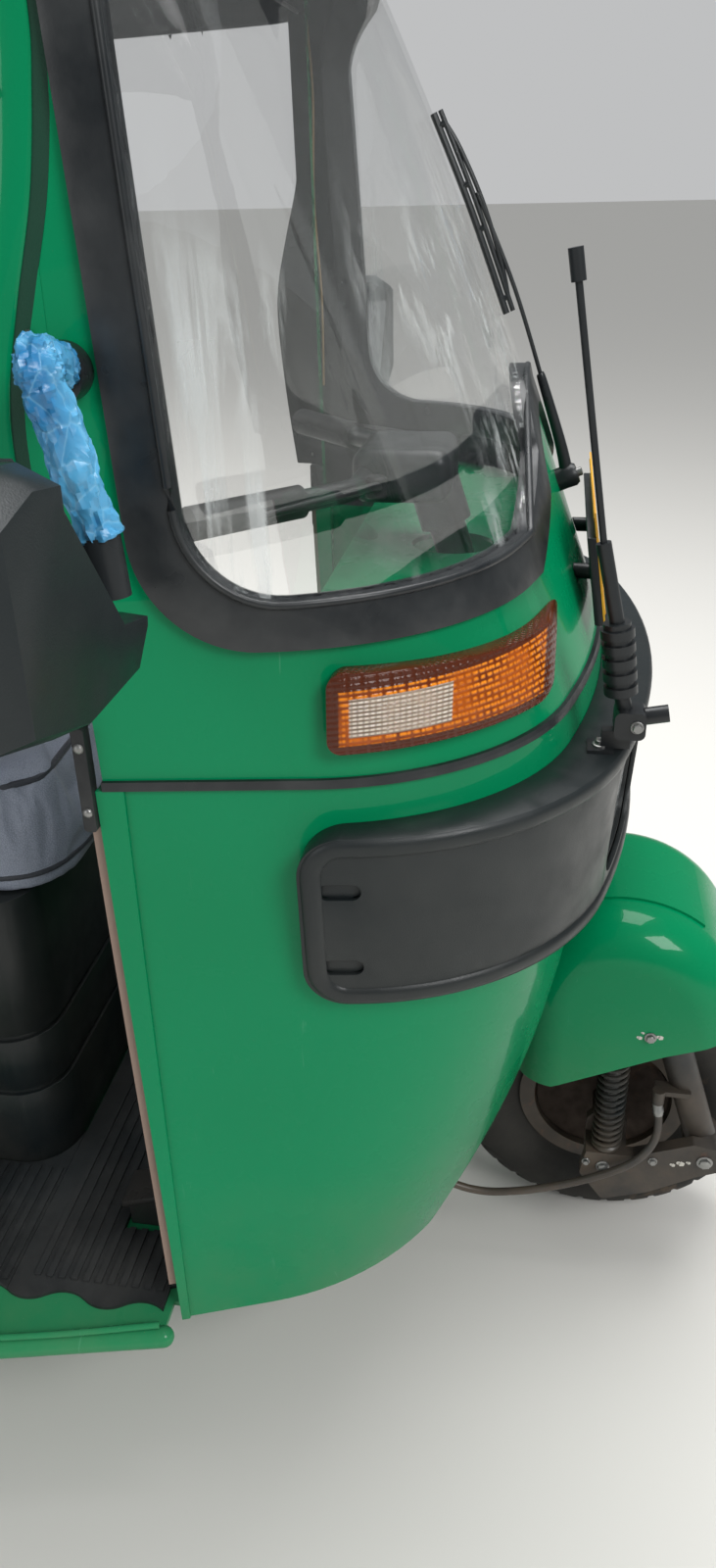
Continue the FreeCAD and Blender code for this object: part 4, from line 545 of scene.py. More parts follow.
NODE_MATERIAL = {
    "body": ["wheelhouse", "floor_pan", "front_mudguard", "rear_panel", "engine_door", "lower_cowl",
             "quarter_panel_left", "quarter_panel_right", "dash_shelf"],
    "cowl": ["upper_cowl"],
    "plastic": ["front_bumper", "mirror_housings", "driver_seat_base", "handlebar", "headlamp_bowls"],
    "smooth_plastic": ["mirror_arms", "plate_holder", "marker_pole", "wiper", "brake_pedal"],
    "gasket": ["windscreen_gasket", "cowl_seam_trim"],
    "rubber": ["handlebar_grips", "seam_brackets"],
    "hose": ["brake_hose"],
    "mat": ["floor_mats"],
    "beige": ["jamb_trims"],
    "glass": ["windscreen_glass"],
    "soft_window": ["rear_window"],
    "lamp_glass": ["headlamp_lenses"],
    "mirror": ["mirror_glasses"],
    "amber": ["front_indicators"],
    "red": ["tail_lamps"],
    "plate": ["number_plate"],
    "tyre": ["front_tyre", "rear_tyre_left", "rear_tyre_right"],
    "wheel": ["front_rim", "rear_rim_left", "rear_rim_right"],
    "steel": ["chassis_frame", "head_tube", "front_fork", "trailing_link", "hood_frame", "rear_bumper",
              "rear_arms", "rear_dampers", "bench_base", "driver_rail"],
    "spring": ["front_spring"],
    "cast": ["engine_block"],
    "brake": ["brake_plate"],
    "silencer": ["silencer"],
    "seat": ["driver_cushion", "driver_backrest", "bench_cushion", "bench_backrest"],
    "canvas": ["hood_canopy"],
    "film": ["mirror_wraps"],
}


def dress_nodes():
    for key, names in NODE_MATERIAL.items():
        for name in names:
            obj = nodes[name]
            for slot in obj.material_slots:
                slot.link = "OBJECT"
                slot.material = MATERIALS[key]


# ---------------------------------------------------------------- mesh helpers


def merge(name, parts, material, body):
    """One mesh from a list of (verts, faces), riding on a body."""
    verts, faces = [], []
    for v, f in parts:
        base = len(verts)
        verts.extend(v)
        faces.extend([[i + base for i in face] for face in f])
    obj = new_object(name, verts, faces, False)
    finish_piece(obj, material, body)
    return obj


def finish_piece(obj, material, body, angle=40.0):
    obj.data.materials.clear()
    obj.data.materials.append(MATERIALS[material])
    obj.data.polygons.foreach_set("use_smooth", [True] * len(obj.data.polygons))
    obj.data.set_sharp_from_angle(angle=math.radians(angle))
    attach(obj, body)


def loft(rings, closed=False, caps=True):
    """A skin through rings with the same number of points, capped, or closed end to end."""
    n = len(rings[0])
    verts = [v for ring in rings for v in ring]
    faces = []
    for j in range(len(rings) if closed else len(rings) - 1):
        a, b = j * n, (j + 1) % len(rings) * n
        for i in range(n):
            k = (i + 1) % n
            faces.append([a + i, a + k, b + k, b + i])
    if caps and not closed:
        faces.append(list(range(n))[::-1])
        faces.append([len(verts) - n + i for i in range(n)])
    return verts, faces


def circle(at, side, up, radius, count):
    """A ring of points round at, in the plane of two unit vectors."""
    turns = [2 * math.pi * i / count for i in range(count)]
    return [at + (side * math.cos(a) + up * math.sin(a)) * radius for a in turns]


def turned(profile, at, direction, count=20):
    """A turned piece: profile points of (along, radius) about a line from at, in metres."""
    direction = Vector(direction).normalized()
    side = direction.orthogonal().normalized()
    up = direction.cross(side)
    return loft([circle(at + direction * along, side, up, radius, count) for along, radius in profile])


def bolt(at, direction, across, height=None):
    """A hexagon head on a washer, its size across the flats and its height in mm."""
    r = across / 2000.0
    h = (height or across * 0.45) / 1000.0
    washer = turned([(-0.002, r * 1.32), (0.0, r * 1.35), (0.0012, r * 1.35), (0.0016, r * 1.25)],
                    at, direction, 20)
    head = turned([(0.001, r), (h, r), (h + 0.0008, r * 0.82)], at, direction, 6)
    return [washer, head]


def screw(at, direction, width):
    """A round screw head of a width in mm."""
    r = width / 2000.0
    return [turned([(-0.002, r), (0.0004, r), (r * 0.45, r * 0.75), (r * 0.6, r * 0.3)], at, direction, 14)]


def tube(points, radius, count=12, closed=False):
    """A round tube along points given in metres; its radius may be a function of the share of its length."""
    rings = []
    n = len(points)
    up = Vector((0.0, 0.0, 1.0))
    for i, p in enumerate(points):
        a = points[i - 1] if (i or closed) else points[0]
        b = points[(i + 1) % n] if (i < n - 1 or closed) else points[-1]
        along = (b - a).normalized()
        side = along.cross(up)
        if side.length < 0.1:
            side = along.cross(Vector((0.0, 1.0, 0.0)))
        side.normalize()
        r = radius(i / (n - 1)) if callable(radius) else radius
        rings.append(circle(p, side, side.cross(along), r, count))
    return loft(rings, closed)


def round_rectangle(us, vs, corners, counts):
    """Points round a rectangle in a plane of u and v. Its corners have a size along u and along v, and
    nine points each. Its sides are divided into as many parts as counts gives for u and for v."""
    (u0, u1), (v0, v1), (cu, cv) = us, vs, corners
    arcs = []
    for u, v, start in ((u1 - cu, v1 - cv, 0), (u0 + cu, v1 - cv, 90),
                        (u0 + cu, v0 + cv, 180), (u1 - cu, v0 + cv, 270)):
        turns = [math.radians(start + 90 * k / 8) for k in range(9)]
        arcs.append([(u + cu * math.cos(a), v + cv * math.sin(a)) for a in turns])
    points = []
    for i, arc in enumerate(arcs):
        points += arc
        (ua, va), (ub, vb) = arc[-1], arcs[(i + 1) % 4][0]
        shares = [k / counts[i % 2] for k in range(1, counts[i % 2])]
        points += [(ua + (ub - ua) * t, va + (vb - va) * t) for t in shares]
    return points


def smooth_line(points, steps=8):
    """Catmull-Rom points through a short list."""
    out = []
    n = len(points)
    for i in range(n - 1):
        p0, p1 = points[max(i - 1, 0)], points[i]
        p2, p3 = points[i + 1], points[min(i + 2, n - 1)]
        for k in range(steps):
            t = k / steps
            out.append(0.5 * ((2 * p1) + (p2 - p0) * t + (2 * p0 - 5 * p1 + 4 * p2 - p3) * t * t
                              + (3 * p1 - p0 - 3 * p2 + p3) * t ** 3))
    out.append(points[-1])
    return out


# ---------------------------------------------------------------- tyres


def tyre_profile():
    """Half profile of the tyre as (x, radius) in mm, from bead to bead, matching the solid's arcs."""
    half = TYRE_WIDTH / 2
    points = []

    def arc(a, m, b, count):
        ax, ay = a
        bx, by = b
        mx, my = m
        d = 2 * (ax * (my - by) + mx * (by - ay) + bx * (ay - my))
        ux = ((ax * ax + ay * ay) * (my - by) + (mx * mx + my * my) * (by - ay)
              + (bx * bx + by * by) * (ay - my)) / d
        uy = ((ax * ax + ay * ay) * (bx - mx) + (mx * mx + my * my) * (ax - bx)
              + (bx * bx + by * by) * (mx - ax)) / d
        r = math.hypot(ax - ux, ay - uy)
        t0, tm, t1 = (math.atan2(y - uy, x - ux) for x, y in (a, m, b))
        while tm - t0 > math.pi:
            tm -= 2 * math.pi
        while tm - t0 < -math.pi:
            tm += 2 * math.pi
        while t1 - tm > math.pi:
            t1 -= 2 * math.pi
        while t1 - tm < -math.pi:
            t1 += 2 * math.pi
        return [(ux + r * math.cos(t0 + (t1 - t0) * k / count), uy + r * math.sin(t0 + (t1 - t0) * k / count))
                for k in range(count + 1)]
    bead, foot, belly = 33.7, 114.0, 157.0
    shoulder, top = half - 15.0, TYRE_RADIUS
    points += [(-bead, 98.0)]
    points += arc((-bead, foot), (-half, belly), (-shoulder, top - 12), 14)
    points += arc((-shoulder, top - 12), (0, top), (shoulder, top - 12), 34)[1:]
    points += arc((shoulder, top - 12), (half, belly), (bead, foot), 14)[1:]
    points += [(bead, 98.0)]
    return points


def tread_depth(x, angle):
    """Depth in mm of the tread pattern: zigzag grooves round the crown and bars on the shoulders."""
    pitch = 2 * math.pi / 36
    phase = (angle / pitch) % 1.0
    zig = abs(phase * 2 - 1) * 2 - 1
    depth = 0.0
    for middle in (-14.0, 14.0):
        edge = abs(x - middle - zig * 4.0)
        depth = max(depth, 4.0 * max(0.0, min(1.0, (3.4 - edge) / 1.4)))
    if 24.0 < abs(x) < 42.0:
        shift = 0.5 if x > 0 else 0.0
        bar = abs(((angle / pitch + shift) % 1.0) - 0.5)
        depth = max(depth, 4.0 * max(0.0, min(1.0, (0.15 - bar) / 0.04)) * min(1.0, (abs(x) - 24.0) / 3.0))
    return depth


def make_tyres():
    profile = tyre_profile()
    around = 432
    for name, x0, station, body in WHEELS:
        verts, faces = [], []
        for i in range(around):
            a = 2 * math.pi * i / around
            for x, r in profile:
                d = tread_depth(x, a) if r > 180 else 0.0
                rib = 0.0
                if 126 < r < 150 and abs(x) > 40:
                    rib = 0.8 if (a * 90 / math.pi) % 1.0 < 0.5 else 0.0
                r2 = r - d - rib
                verts.append(P(x0 + x, station + r2 * math.cos(a), TYRE_RADIUS + r2 * math.sin(a)))
        n = len(profile)
        for i in range(around):
            k = (i + 1) % around
            for j in range(n - 1):
                faces.append([i * n + j, k * n + j, k * n + j + 1, i * n + j + 1])
            faces.append([i * n + n - 1, k * n + n - 1, k * n, i * n])
        obj = new_object(name + "_tyre_tread", verts, faces)
        finish_piece(obj, "tyre", body, 50.0)
        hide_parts("front_tyre" if name == "front" else name.replace("rear_", "rear_tyre_"))


# ---------------------------------------------------------------- cushions


def rounded_block(name, lo, hi, corner, inset):
    """A closed block from lo to hi in metres, its upright corners rounded, its top slightly drawn in."""
    (x0, y0, z0), (x1, y1, z1) = lo, hi
    outline = round_rectangle((x0, x1), (y0, y1), (corner, corner), (1, 1))
    mx, my = (x0 + x1) / 2, (y0 + y1) / 2
    levels = [(0.0, 1.0), (0.15, 1.0), (0.8, 1.0), (1.0, 1.0 - inset)]
    rings = [[(mx + (x - mx) * grow, my + (y - my) * grow, z0 + (z1 - z0) * share) for x, y in outline]
             for share, grow in levels]
    return new_object(name, *loft(rings))


def remeshed(obj, size):
    mod = obj.modifiers.new("remesh", "REMESH")
    mod.mode = "VOXEL"
    mod.voxel_size = size
    apply_all(obj)


def apply_all(obj):
    """Turn an object's modified shape into its own mesh."""
    bpy.context.view_layer.update()
    graph = bpy.context.evaluated_depsgraph_get()
    mesh = bpy.data.meshes.new_from_object(obj.evaluated_get(graph))
    obj.modifiers.clear()
    obj.data = mesh


# Cushions: node, how far the padding may swell in mm, voxel size and corner radius in metres
CUSHIONS = [
    ("driver_cushion", 16.0, 0.0075, 0.07),
    ("driver_backrest", 12.0, 0.0075, 0.028),
    ("bench_cushion", 16.0, 0.0095, 0.04),
    ("bench_backrest", 16.0, 0.0095, 0.03),
]


def cushion_shape(node, corner):
    """The cushion's starting form, a little inside its solid."""
    lo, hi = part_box(node)
    gap = 0.008
    name = node + "_pad"
    if node == "bench_backrest":
        half = BENCH_THICK / 2
        flat = rounded_block(name, (lo.x + gap, -half + gap, lo.z + 0.002),
                             (hi.x - gap, half - gap, hi.z - gap), corner, 0.01)
        rise = hi.z - lo.z
        for v in flat.data.vertices:
            v.co.y += lo.y + half + BENCH_LEAN * (v.co.z - lo.z) / rise
        return flat
    return rounded_block(name, (lo.x + gap, lo.y + gap, lo.z + 0.001),
                         (hi.x - gap, hi.y - gap, hi.z - gap), corner, 0.03)


def make_cushions():
    pads = []
    for node, cap, voxel, corner in CUSHIONS:
        pad = cushion_shape(node, corner)
        remeshed(pad, voxel)
        rest = [v.co.copy() for v in pad.data.vertices]
        pads.append((pad, node, cap, rest))
    for pad, node, cap, rest in pads:
        low = min(c.z for c in rest)
        group = pad.vertex_groups.new(name="held")
        group.add([i for i, c in enumerate(rest) if c.z < low + 0.012], 1.0, "REPLACE")
        mod = pad.modifiers.new("cloth", "CLOTH")
        cloth = mod.settings
        cloth.quality = 4
        cloth.mass = 0.25
        cloth.use_pressure = True
        cloth.uniform_pressure_force = 4.0
        cloth.effector_weights.gravity = 0.0
        cloth.vertex_group_mass = "held"
        mod.collision_settings.use_collision = False
    for number in range(1, 21):
        bpy.context.scene.frame_set(number)
    for pad, node, cap, rest in pads:
        apply_all(pad)
        for v, c in zip(pad.data.vertices, rest):
            move = v.co - c
            if move.length > cap / 1000.0:
                v.co = c + move.normalized() * cap / 1000.0
    bpy.context.scene.frame_set(1)
    for pad, node, cap, rest in pads:
        shape_pad(pad, node)
        mod = pad.modifiers.new("smooth", "SUBSURF")
        mod.levels = mod.render_levels = 1
        finish_piece(pad, "seat", "body", 80.0)
        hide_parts(node)
        make_piping(pad, node)


# Sewn channels across a pad: node, axis, places as shares of the width or height
CHANNELS = {
    "bench_backrest": ("x", (0.333, 0.667)),
    "bench_cushion": ("x", (0.333, 0.667)),
    "driver_backrest": ("z", (0.5,)),
    "driver_cushion": ("x", ()),
}


def shape_pad(pad, node):
    """Keep the pad inside its solid's box, press in its sewn channels, dimple the driver's seat."""
    lo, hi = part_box(node)
    axis, shares = CHANNELS[node]
    index = "xyz".index(axis)
    middle = (lo + hi) / 2
    for v in pad.data.vertices:
        v.co.x = min(max(v.co.x, lo.x + 0.001), hi.x - 0.001)
        v.co.y = min(max(v.co.y, lo.y + 0.001), hi.y - 0.001)
        v.co.z = min(max(v.co.z, lo.z + 0.0005), hi.z - 0.001)
        for share in shares:
            at = lo[index] + share * (hi[index] - lo[index])
            d = abs(v.co[index] - at)
            if d < 0.03:
                press = 0.008 * math.exp(-(d / 0.007) ** 2)
                to_middle = middle - v.co
                to_middle[index] = 0.0
                if node == "bench_backrest":
                    to_middle = Vector((0, to_middle.y, 0))
                if to_middle.length > 1e-5:
                    v.co += to_middle.normalized() * press
        if node == "driver_cushion" and v.co.z > middle.z:
            dx = (v.co.x - middle.x) / 0.2
            dy = (v.co.y - middle.y) / 0.14
            v.co.z -= 0.014 * math.exp(-(dx * dx + dy * dy))
        crease = noise.noise(Vector((v.co.x * 9, v.co.y * 9, v.co.z * 9)))
        v.co += (v.co - middle).normalized() * (crease * 0.0015)


def make_piping(pad, node):
    """Two welts round the pad, laid on its skin by casting rays out from its middle."""
    lo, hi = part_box(node)
    tree = BVHTree.FromPolygons([v.co.copy() for v in pad.data.vertices],
                                [list(p.vertices) for p in pad.data.polygons])
    upright = node in ("driver_backrest", "bench_backrest")
    bottom, top = (lo.z, hi.z) if upright else (lo.y, hi.y)
    parts = []
    for share in (0.14, 0.86):

        def spot(u, v):
            if node == "bench_backrest":
                lean = BENCH_LEAN * (v - lo.z) / (hi.z - lo.z)
                return Vector((u, lo.y + BENCH_THICK * share + lean, v))
            if upright:
                return Vector((u, lo.y + (hi.y - lo.y) * share, v))
            return Vector((u, v, lo.z + (hi.z - lo.z) * share))

        start = spot((lo.x + hi.x) / 2, (bottom + top) / 2)
        points = []
        for u, v in round_rectangle((lo.x, hi.x), (bottom, top), (0.03, 0.03), (30, 30)):
            aim = (spot(u, v) - start).normalized()
            hit = tree.ray_cast(start, aim)[0]
            if hit is not None:
                points.append(hit - aim * 0.0015)
        for _ in range(4):
            after = points[1:] + points[:1]
            points = [(points[i - 1] + p * 2 + after[i]) / 4 for i, p in enumerate(points)]
        parts.append(tube(points, 0.004, 8, True))
    merge(node + "_piping", parts, "piping", "body")


# ---------------------------------------------------------------- hood


def make_hood():
    """The hood's canvas: the skin over the solid's outer form, cut for the doorways and the window, let down a
    little between the hoops, and hemmed."""
    source = nodes["hood_canopy"].data
    mesh = bpy.data.meshes.new("hood_sheet")
    form = bmesh.new()
    for v in source.vertices:
        form.verts.new(v.co)
    hull = bmesh.ops.convex_hull(form, input=form.verts)
    loose = [g for g in hull["geom_interior"] if isinstance(g, bmesh.types.BMVert)]
    bmesh.ops.delete(form, geom=loose, context="VERTS")
    form.to_mesh(mesh)
    form.free()
    sheet = bpy.data.objects.new("hood_sheet", mesh)
    bpy.context.collection.objects.link(sheet)
    remeshed(sheet, 0.016)
    smooth = sheet.modifiers.new("soften", "SMOOTH")
    smooth.iterations = 6
    smooth.factor = 0.5
    apply_all(sheet)
    work = bmesh.new()
    work.from_mesh(sheet.data)

    def slice_at(point, normal):
        geom = work.verts[:] + work.edges[:] + work.faces[:]
        bmesh.ops.bisect_plane(work, geom=geom, plane_co=point, plane_no=normal, dist=1e-5)

    front_station, front_top, hem = 456.0, 1592.0, WAIST_Z + 0.4
    door = [(0.0, 1500.0), (1390.0, 1500.0), (1460.0, 1440.0), (1560.0, 860.0)]
    for (s0, z0), (s1, z1) in zip(door, door[1:]):
        a, b = P(0, s0, z0), P(0, s1, z1)
        slice_at(a, Vector((1, 0, 0)).cross(b - a))
    slice_at(P(0, 0, hem), Vector((0, 0, 1)))
    slice_at(P(0, front_station, 0), Vector((0, 1, 0)))
    slice_at(P(0, 0, front_top), Vector((0, 0, 1)))
    window = [(-330, 1220), (-318, 1192), (-290, 1180), (290, 1180), (318, 1192), (330, 1220),
              (330, 1360), (318, 1388), (290, 1400), (-290, 1400), (-318, 1388), (-330, 1360)]
    for (x0, z0), (x1, z1) in zip(window, window[1:] + window[:1]):
        a, b = P(x0, 0, z0), P(x1, 0, z1)
        slice_at(a, Vector((0, 1, 0)).cross(b - a))
    gone = []
    for face in work.faces:
        c = face.calc_center_median() * 1000.0
        s, z = c.y - FRONT_AXLE_Y, c.z
        in_window = s > 2300 and inside(window, c.x, z)
        if z < hem or (s < front_station and z < front_top) or in_window or below_door(door, s, z):
            gone.append(face)
    bmesh.ops.delete(work, geom=gone, context="FACES")
    hoops = (452.0, 1050.0, 1520.0, 2130.0, REAR_END)
    for v in work.verts:
        s = v.co.y * 1000.0 - FRONT_AXLE_Y
        z = v.co.z * 1000.0
        sag = 0.0
        for a, b in zip(hoops, hoops[1:]):
            if a < s < b:
                sag = math.sin(math.pi * (s - a) / (b - a)) ** 2
        edge = any(e.is_boundary for e in v.link_edges)
        n = v.normal
        if not edge and z > 1500:
            v.co.z -= 0.010 * sag
        wave = noise.noise(Vector((v.co.x * 4, v.co.y * 2.2, v.co.z * 2.2)))
        fine = noise.noise(Vector((v.co.x * 11, v.co.y * 3.0, v.co.z * 7)))
        push = 0.004 * wave + 0.0016 * fine - 0.004
        if z < 1450:
            push += 0.003 * math.sin(s / 34.0 + wave * 3.0) * min(1.0, (1450 - z) / 300)
            push -= 0.003
        if z < WAIST_Z + 60:
            share = max(0.0, (z - WAIST_Z - 8) / 52)
            push = -0.0015 + (push + 0.0015) * share
        v.co += n * push
    work.to_mesh(sheet.data)
    work.free()
    thick = sheet.modifiers.new("thick", "SOLIDIFY")
    thick.thickness = 0.003
    thick.offset = -1.0
    finish_piece(sheet, "canvas", "body", 70.0)
    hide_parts("hood_canopy")


def inside(outline, x, z):
    """True if a point lies inside a convex outline, given in order."""
    turns = []
    for (x0, z0), (x1, z1) in zip(outline, outline[1:] + outline[:1]):
        turns.append((x1 - x0) * (z - z0) - (z1 - z0) * (x - x0) > 0)
    return all(turns) or not any(turns)


def below_door(door, s, z):
    """True if a place lies under the doorway's upper edge, given as stations and heights."""
    for (s0, z0), (s1, z1) in zip(door, door[1:]):
        if s0 <= s <= s1:
            return z < z0 + (z1 - z0) * (s - s0) / (s1 - s0)
    return False


# ---------------------------------------------------------------- film sleeves


def make_films():
    """Film wound round each mirror's stalk, creased where it turns and loose at its ends."""
    for side, label in ((1, "right"), (-1, "left")):
        base, elbow, low = P(-456 * side, 453, 1206), P(-532 * side, 441, 1224), P(-516 * side, 419, 1108)
        line = smooth_line([base.lerp(elbow, 0.34), base.lerp(elbow, 0.8),
                            elbow.lerp(low, 0.02) + Vector((side, 0, -1)) * 0.004,
                            elbow.lerp(low, 0.2), elbow.lerp(low, 0.6), low], 14)
        count, n = 34, len(line)
        rings = []
        for i, p in enumerate(line):
            a, b = line[max(i - 1, 0)], line[min(i + 1, n - 1)]
            along = (b - a).normalized()
            out = along.cross(Vector((0, 1, 0))).normalized()
            lift = out.cross(along)
            t = i / (n - 1)
            ring = []
            for j in range(count):
                w = 2 * math.pi * j / count
                twist = w + t * 5.0 * side
                spot = Vector((math.cos(twist) * 1.3, math.sin(twist) * 1.3, t * 6.5))
                ridge = abs(noise.noise(spot * 1.4)) * 2.0
                small = abs(noise.noise(spot * 2.7 + Vector((7, 3, 1)))) * 2.0
                r = 13.6 + 3.4 * ridge - 1.8 * small + 1.1 * math.sin(t * 19 + math.cos(w) * 1.5)
                r += 3.0 * max(0.0, (t - 0.9) * 10) ** 2 * abs(noise.noise(spot * 3.0)) * 2
                r = max(10.6, min(18.5, r))
                ring.append(p + (out * math.cos(w) + lift * math.sin(w)) * (r / 1000.0))
            rings.append(ring)
        obj = new_object("mirror_film_" + label, *loft(rings, caps=False))
        thick = obj.modifiers.new("thick", "SOLIDIFY")
        thick.thickness = 0.0006
        finish_piece(obj, "film", "body", 28.0)
        if label == "right":
            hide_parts("mirror_wraps")


# ---------------------------------------------------------------- small things


def make_fasteners():
    """Screws, rivets and bolts, joined into one mesh for each body and finish."""
    bright, white = [], []
    out = Vector((-1, 0, 0))
    for side in (-1, 1):
        way = Vector((side, 0, 0))
        for z in (868.0, 926.0):
            bright += screw(P(side * 480.2, 475, z), way, 9.0)
        for z in (330.0, 440.0, 560.0, 690.0, 800.0):
            bright += screw(P(side * 467.0, 459.5, z), Vector((0, 1, 0)), 6.0)
        for z in (960.0, 1090.0, 1230.0, 1370.0):
            bright += screw(P(side * 462.0, 474.5, z), Vector((0, 1, 0)), 6.0)
    bright += bolt(P(-275, 60, 855.2), Vector((0, 0, 1)), 11.0, 5.0)
    bright += bolt(P(-289.8, 30, 881), out, 9.0, 5.0)
    merge("body_fasteners", bright, "bright", "body")
    moving = []
    for station, z, across, height in ((-126, 203, 15.0, 5.0), (0, 178, 13.0, 5.0),
                                       (-62, 196, 9.0, 4.0), (22, 184, 8.0, 4.0)):
        moving += bolt(P(-131.6, station, z), out, across, height)
    merge("link_bolts", moving, "bright", "steering")
    pale = bolt(P(-134.0, -39, 400), out, 11.0, 5.0) + bolt(P(134.0, -39, 400), -out, 11.0, 5.0)
    merge("mudguard_bolts", pale, "bright", "steering")
    marks = []
    for x, station, z, size in ((-134.3, -51.0, 401.0, 3.6), (-134.3, -27.0, 398.0, 3.0),
                                (-134.3, -30.0, 406.0, 1.8), (-131.7, -98.0, 196.0, 4.4),
                                (-131.7, -88.0, 192.5, 3.0), (-131.7, -107.0, 199.0, 2.6)):
        marks.append(turned([(0.0, size / 1000), (0.0003, size / 1100)], P(x, station, z), out, 5))
        marks.append(turned([(0.0, size / 1500), (0.0003, size / 1700)],
                            P(x, station + size * 0.9, z + size * 0.3), out, 6))
    merge("paint_chips", marks, "white", "steering")
    for label, x0, station, body in WHEELS:
        way = -1 if x0 < 0 else 1
        studs = []
        for i in range(5):
            a = 2 * math.pi * i / 5 + 0.3
            studs += bolt(P(x0 + way * STUD_FACE, station + STUD_CIRCLE * math.cos(a),
                            TYRE_RADIUS + STUD_CIRCLE * math.sin(a)), Vector((way, 0, 0)), 14.0, 9.0)
        merge(label + "_wheel_nuts", studs, "bright", body)


def make_controls():
    """Brake and clutch levers on the handlebar, each on its pivot."""
    parts = []
    station = -STEERING_TRAIL + HANDLEBAR_Z * math.tan(math.radians(STEERING_RAKE))
    for side in (-1, 1):
        line = smooth_line([P(side * 104, station + 40, 1046), P(side * 132, station + 44, 1052),
                            P(side * 176, station + 84, 1050), P(side * 226, station + 134, 1046)], 8)
        parts.append(tube(line, lambda t: 0.0052 - 0.0014 * t, 10))
        parts.append(turned([(-0.011, 0.009), (-0.009, 0.011), (0.009, 0.011), (0.011, 0.009)],
                            P(side * 106, station + 42, 1047), Vector((0, 0, 1)), 18))
    merge("hand_levers", parts, "steel", "steering")


def block(lo, hi):
    """A box between two corners, each given as (x, station, z)."""
    a, b = P(*lo), P(*hi)
    verts = [Vector((x, y, z)) for z in (a.z, b.z) for y in (a.y, b.y) for x in (a.x, b.x)]
    return verts, [[0, 2, 3, 1], [4, 5, 7, 6], [0, 1, 5, 4], [2, 6, 7, 3], [0, 4, 6, 2], [1, 3, 7, 5]]



def node_tree_of(name):
    """A node's surface, for casting rays onto it."""
    mesh = nodes[name].data
    return BVHTree.FromPolygons([v.co.copy() for v in mesh.vertices],
                                [list(p.vertices) for p in mesh.polygons])


# Each side of the upper cowl: height, half width at the base station, that station, taper in degrees
PILLAR = [(889.0, 470.0, 463.0, 8.5), (1000.0, 466.0, 468.0, 8.0), (1130.0, 462.0, 472.0, 7.0),
          (1590.0, 452.0, 478.0, 5.0)]

# The groove beside the doorway's flange, where a strip of painted shade lies, as height and station
GROOVE = [(945.0, 474.0), (1040.0, 485.0), (1138.0, 492.0), (1192.0, 489.0), (1250.0, 475.0),
          (1312.0, 457.5), (1370.0, 447.5), (1416.0, 443.5), (1500.0, 448.0), (1586.0, 453.0)]


def pillar_side(station, z):
    """Half width of the pillar's outer face at a station and a height."""
    for (z0, h0, b0, t0), (z1, h1, b1, t1) in zip(PILLAR, PILLAR[1:]):
        if z <= z1:
            t = (z - z0) / (z1 - z0)
            half, base, taper = h0 + (h1 - h0) * t, b0 + (b1 - b0) * t, t0 + (t1 - t0) * t
            return half - (base - station) * math.tan(math.radians(taper))
    return 452.0


def make_door_flanges():
    """The pressed flange that runs up beside each doorway, and a dark strip of painted shade for the groove in
    front of it.
    """
    line = smooth_line([Vector((z, s, 0)) for z, s in GROOVE], 8)
    for side, label in ((-1, "right"), (1, "left")):
        flange, groove, filler = [], [], []
        for p in line:
            z, s = p.x, p.y

            def at(ds, out):
                return P(side * (pillar_side(s + ds, z) + out), s + ds, z)
            flange.append([at(4, -2), at(4, 1.6), at(5, 2.6), at(7, 3.0),
                           at(22, 3.0), at(25, 2.2), at(26, 0.8), at(26, -2)])
            # painted shade: a thin dark strip, barely proud of the pillar, stands in for the groove's shade
            groove.append([at(-7, -1.5), at(-7, 0.15), at(-4, 0.5), at(4.5, 0.6), at(4.5, -1.5)])
            if z < 1330:
                inner = min(s - 2.0, 462.0)
                edge = pillar_side(inner, z)
                filler.append([P(side * (edge - 4), inner, z), P(side * (edge + 0.05), inner, z),
                               at(8, 0.4), at(24, 0.4), at(24, -4)])
        merge("door_flange_" + label, [loft(flange), loft(filler)], "cowl", "body")
        merge("door_groove_shade_" + label, [loft(groove)], "groove_shade", "body")


def make_bumper_trim():
    """The rolled border round each side and along the front of the bumper, and the bottoms of its dimples."""
    tree = node_tree_of("front_bumper")
    low, high, rear, corner = 685.5, 843.0, 297.0, 29.0
    centre_station, side_half, end_radius = 250.0, 494.0, 496.0
    ends = math.atan2(rear - centre_station, side_half)
    hits = []
    for angle, z in round_rectangle((math.pi - ends, 2 * math.pi + ends), (low, high),
                                    (corner / end_radius, corner), (150, 9)):
        way = Vector((math.cos(angle), math.sin(angle), 0))
        hit = tree.ray_cast(P(0, centre_station, z) + way * 0.8, -way)
        if hit[0] is not None:
            hits.append((hit[0], hit[1]))
    count, n = 10, len(hits)
    rings = []
    for i, (p, normal) in enumerate(hits):
        along = (hits[(i + 1) % n][0] - hits[i - 1][0]).normalized()
        across = along.cross(normal).normalized()
        turns = [2 * math.pi * j / count for j in range(count)]
        rings.append([p + across * (math.cos(t) * 0.0088) + normal * (math.sin(t) * 0.0038) for t in turns])
    merge("bumper_border", [loft(rings, closed=True)], "plastic", "body")
    slope = math.tan(math.radians(8.5))
    cups = []
    for side in (-1, 1):
        for z in (718.0, 799.0):
            hit = tree.ray_cast(P(side * 700, 245, z), Vector((-side, 0, 0)))
            half = abs(hit[0].x) * 1000.0 + 27.0 * slope
            rings = []
            for grow, deep in ((1.12, 4.9), (0.92, 5.4), (0.55, 6.4), (0.12, 6.8)):
                ring = []
                for j in range(28):
                    t = 2 * math.pi * j / 28
                    ds, dz = 18.0 * grow * math.cos(t), 8.0 * grow * math.sin(t)
                    ring.append(P(side * (half + ds * slope - deep), 272 + ds, z + dz))
                rings.append(ring)
            cups.append(loft(rings))
    merge("bumper_dimples", cups, "plastic", "body")


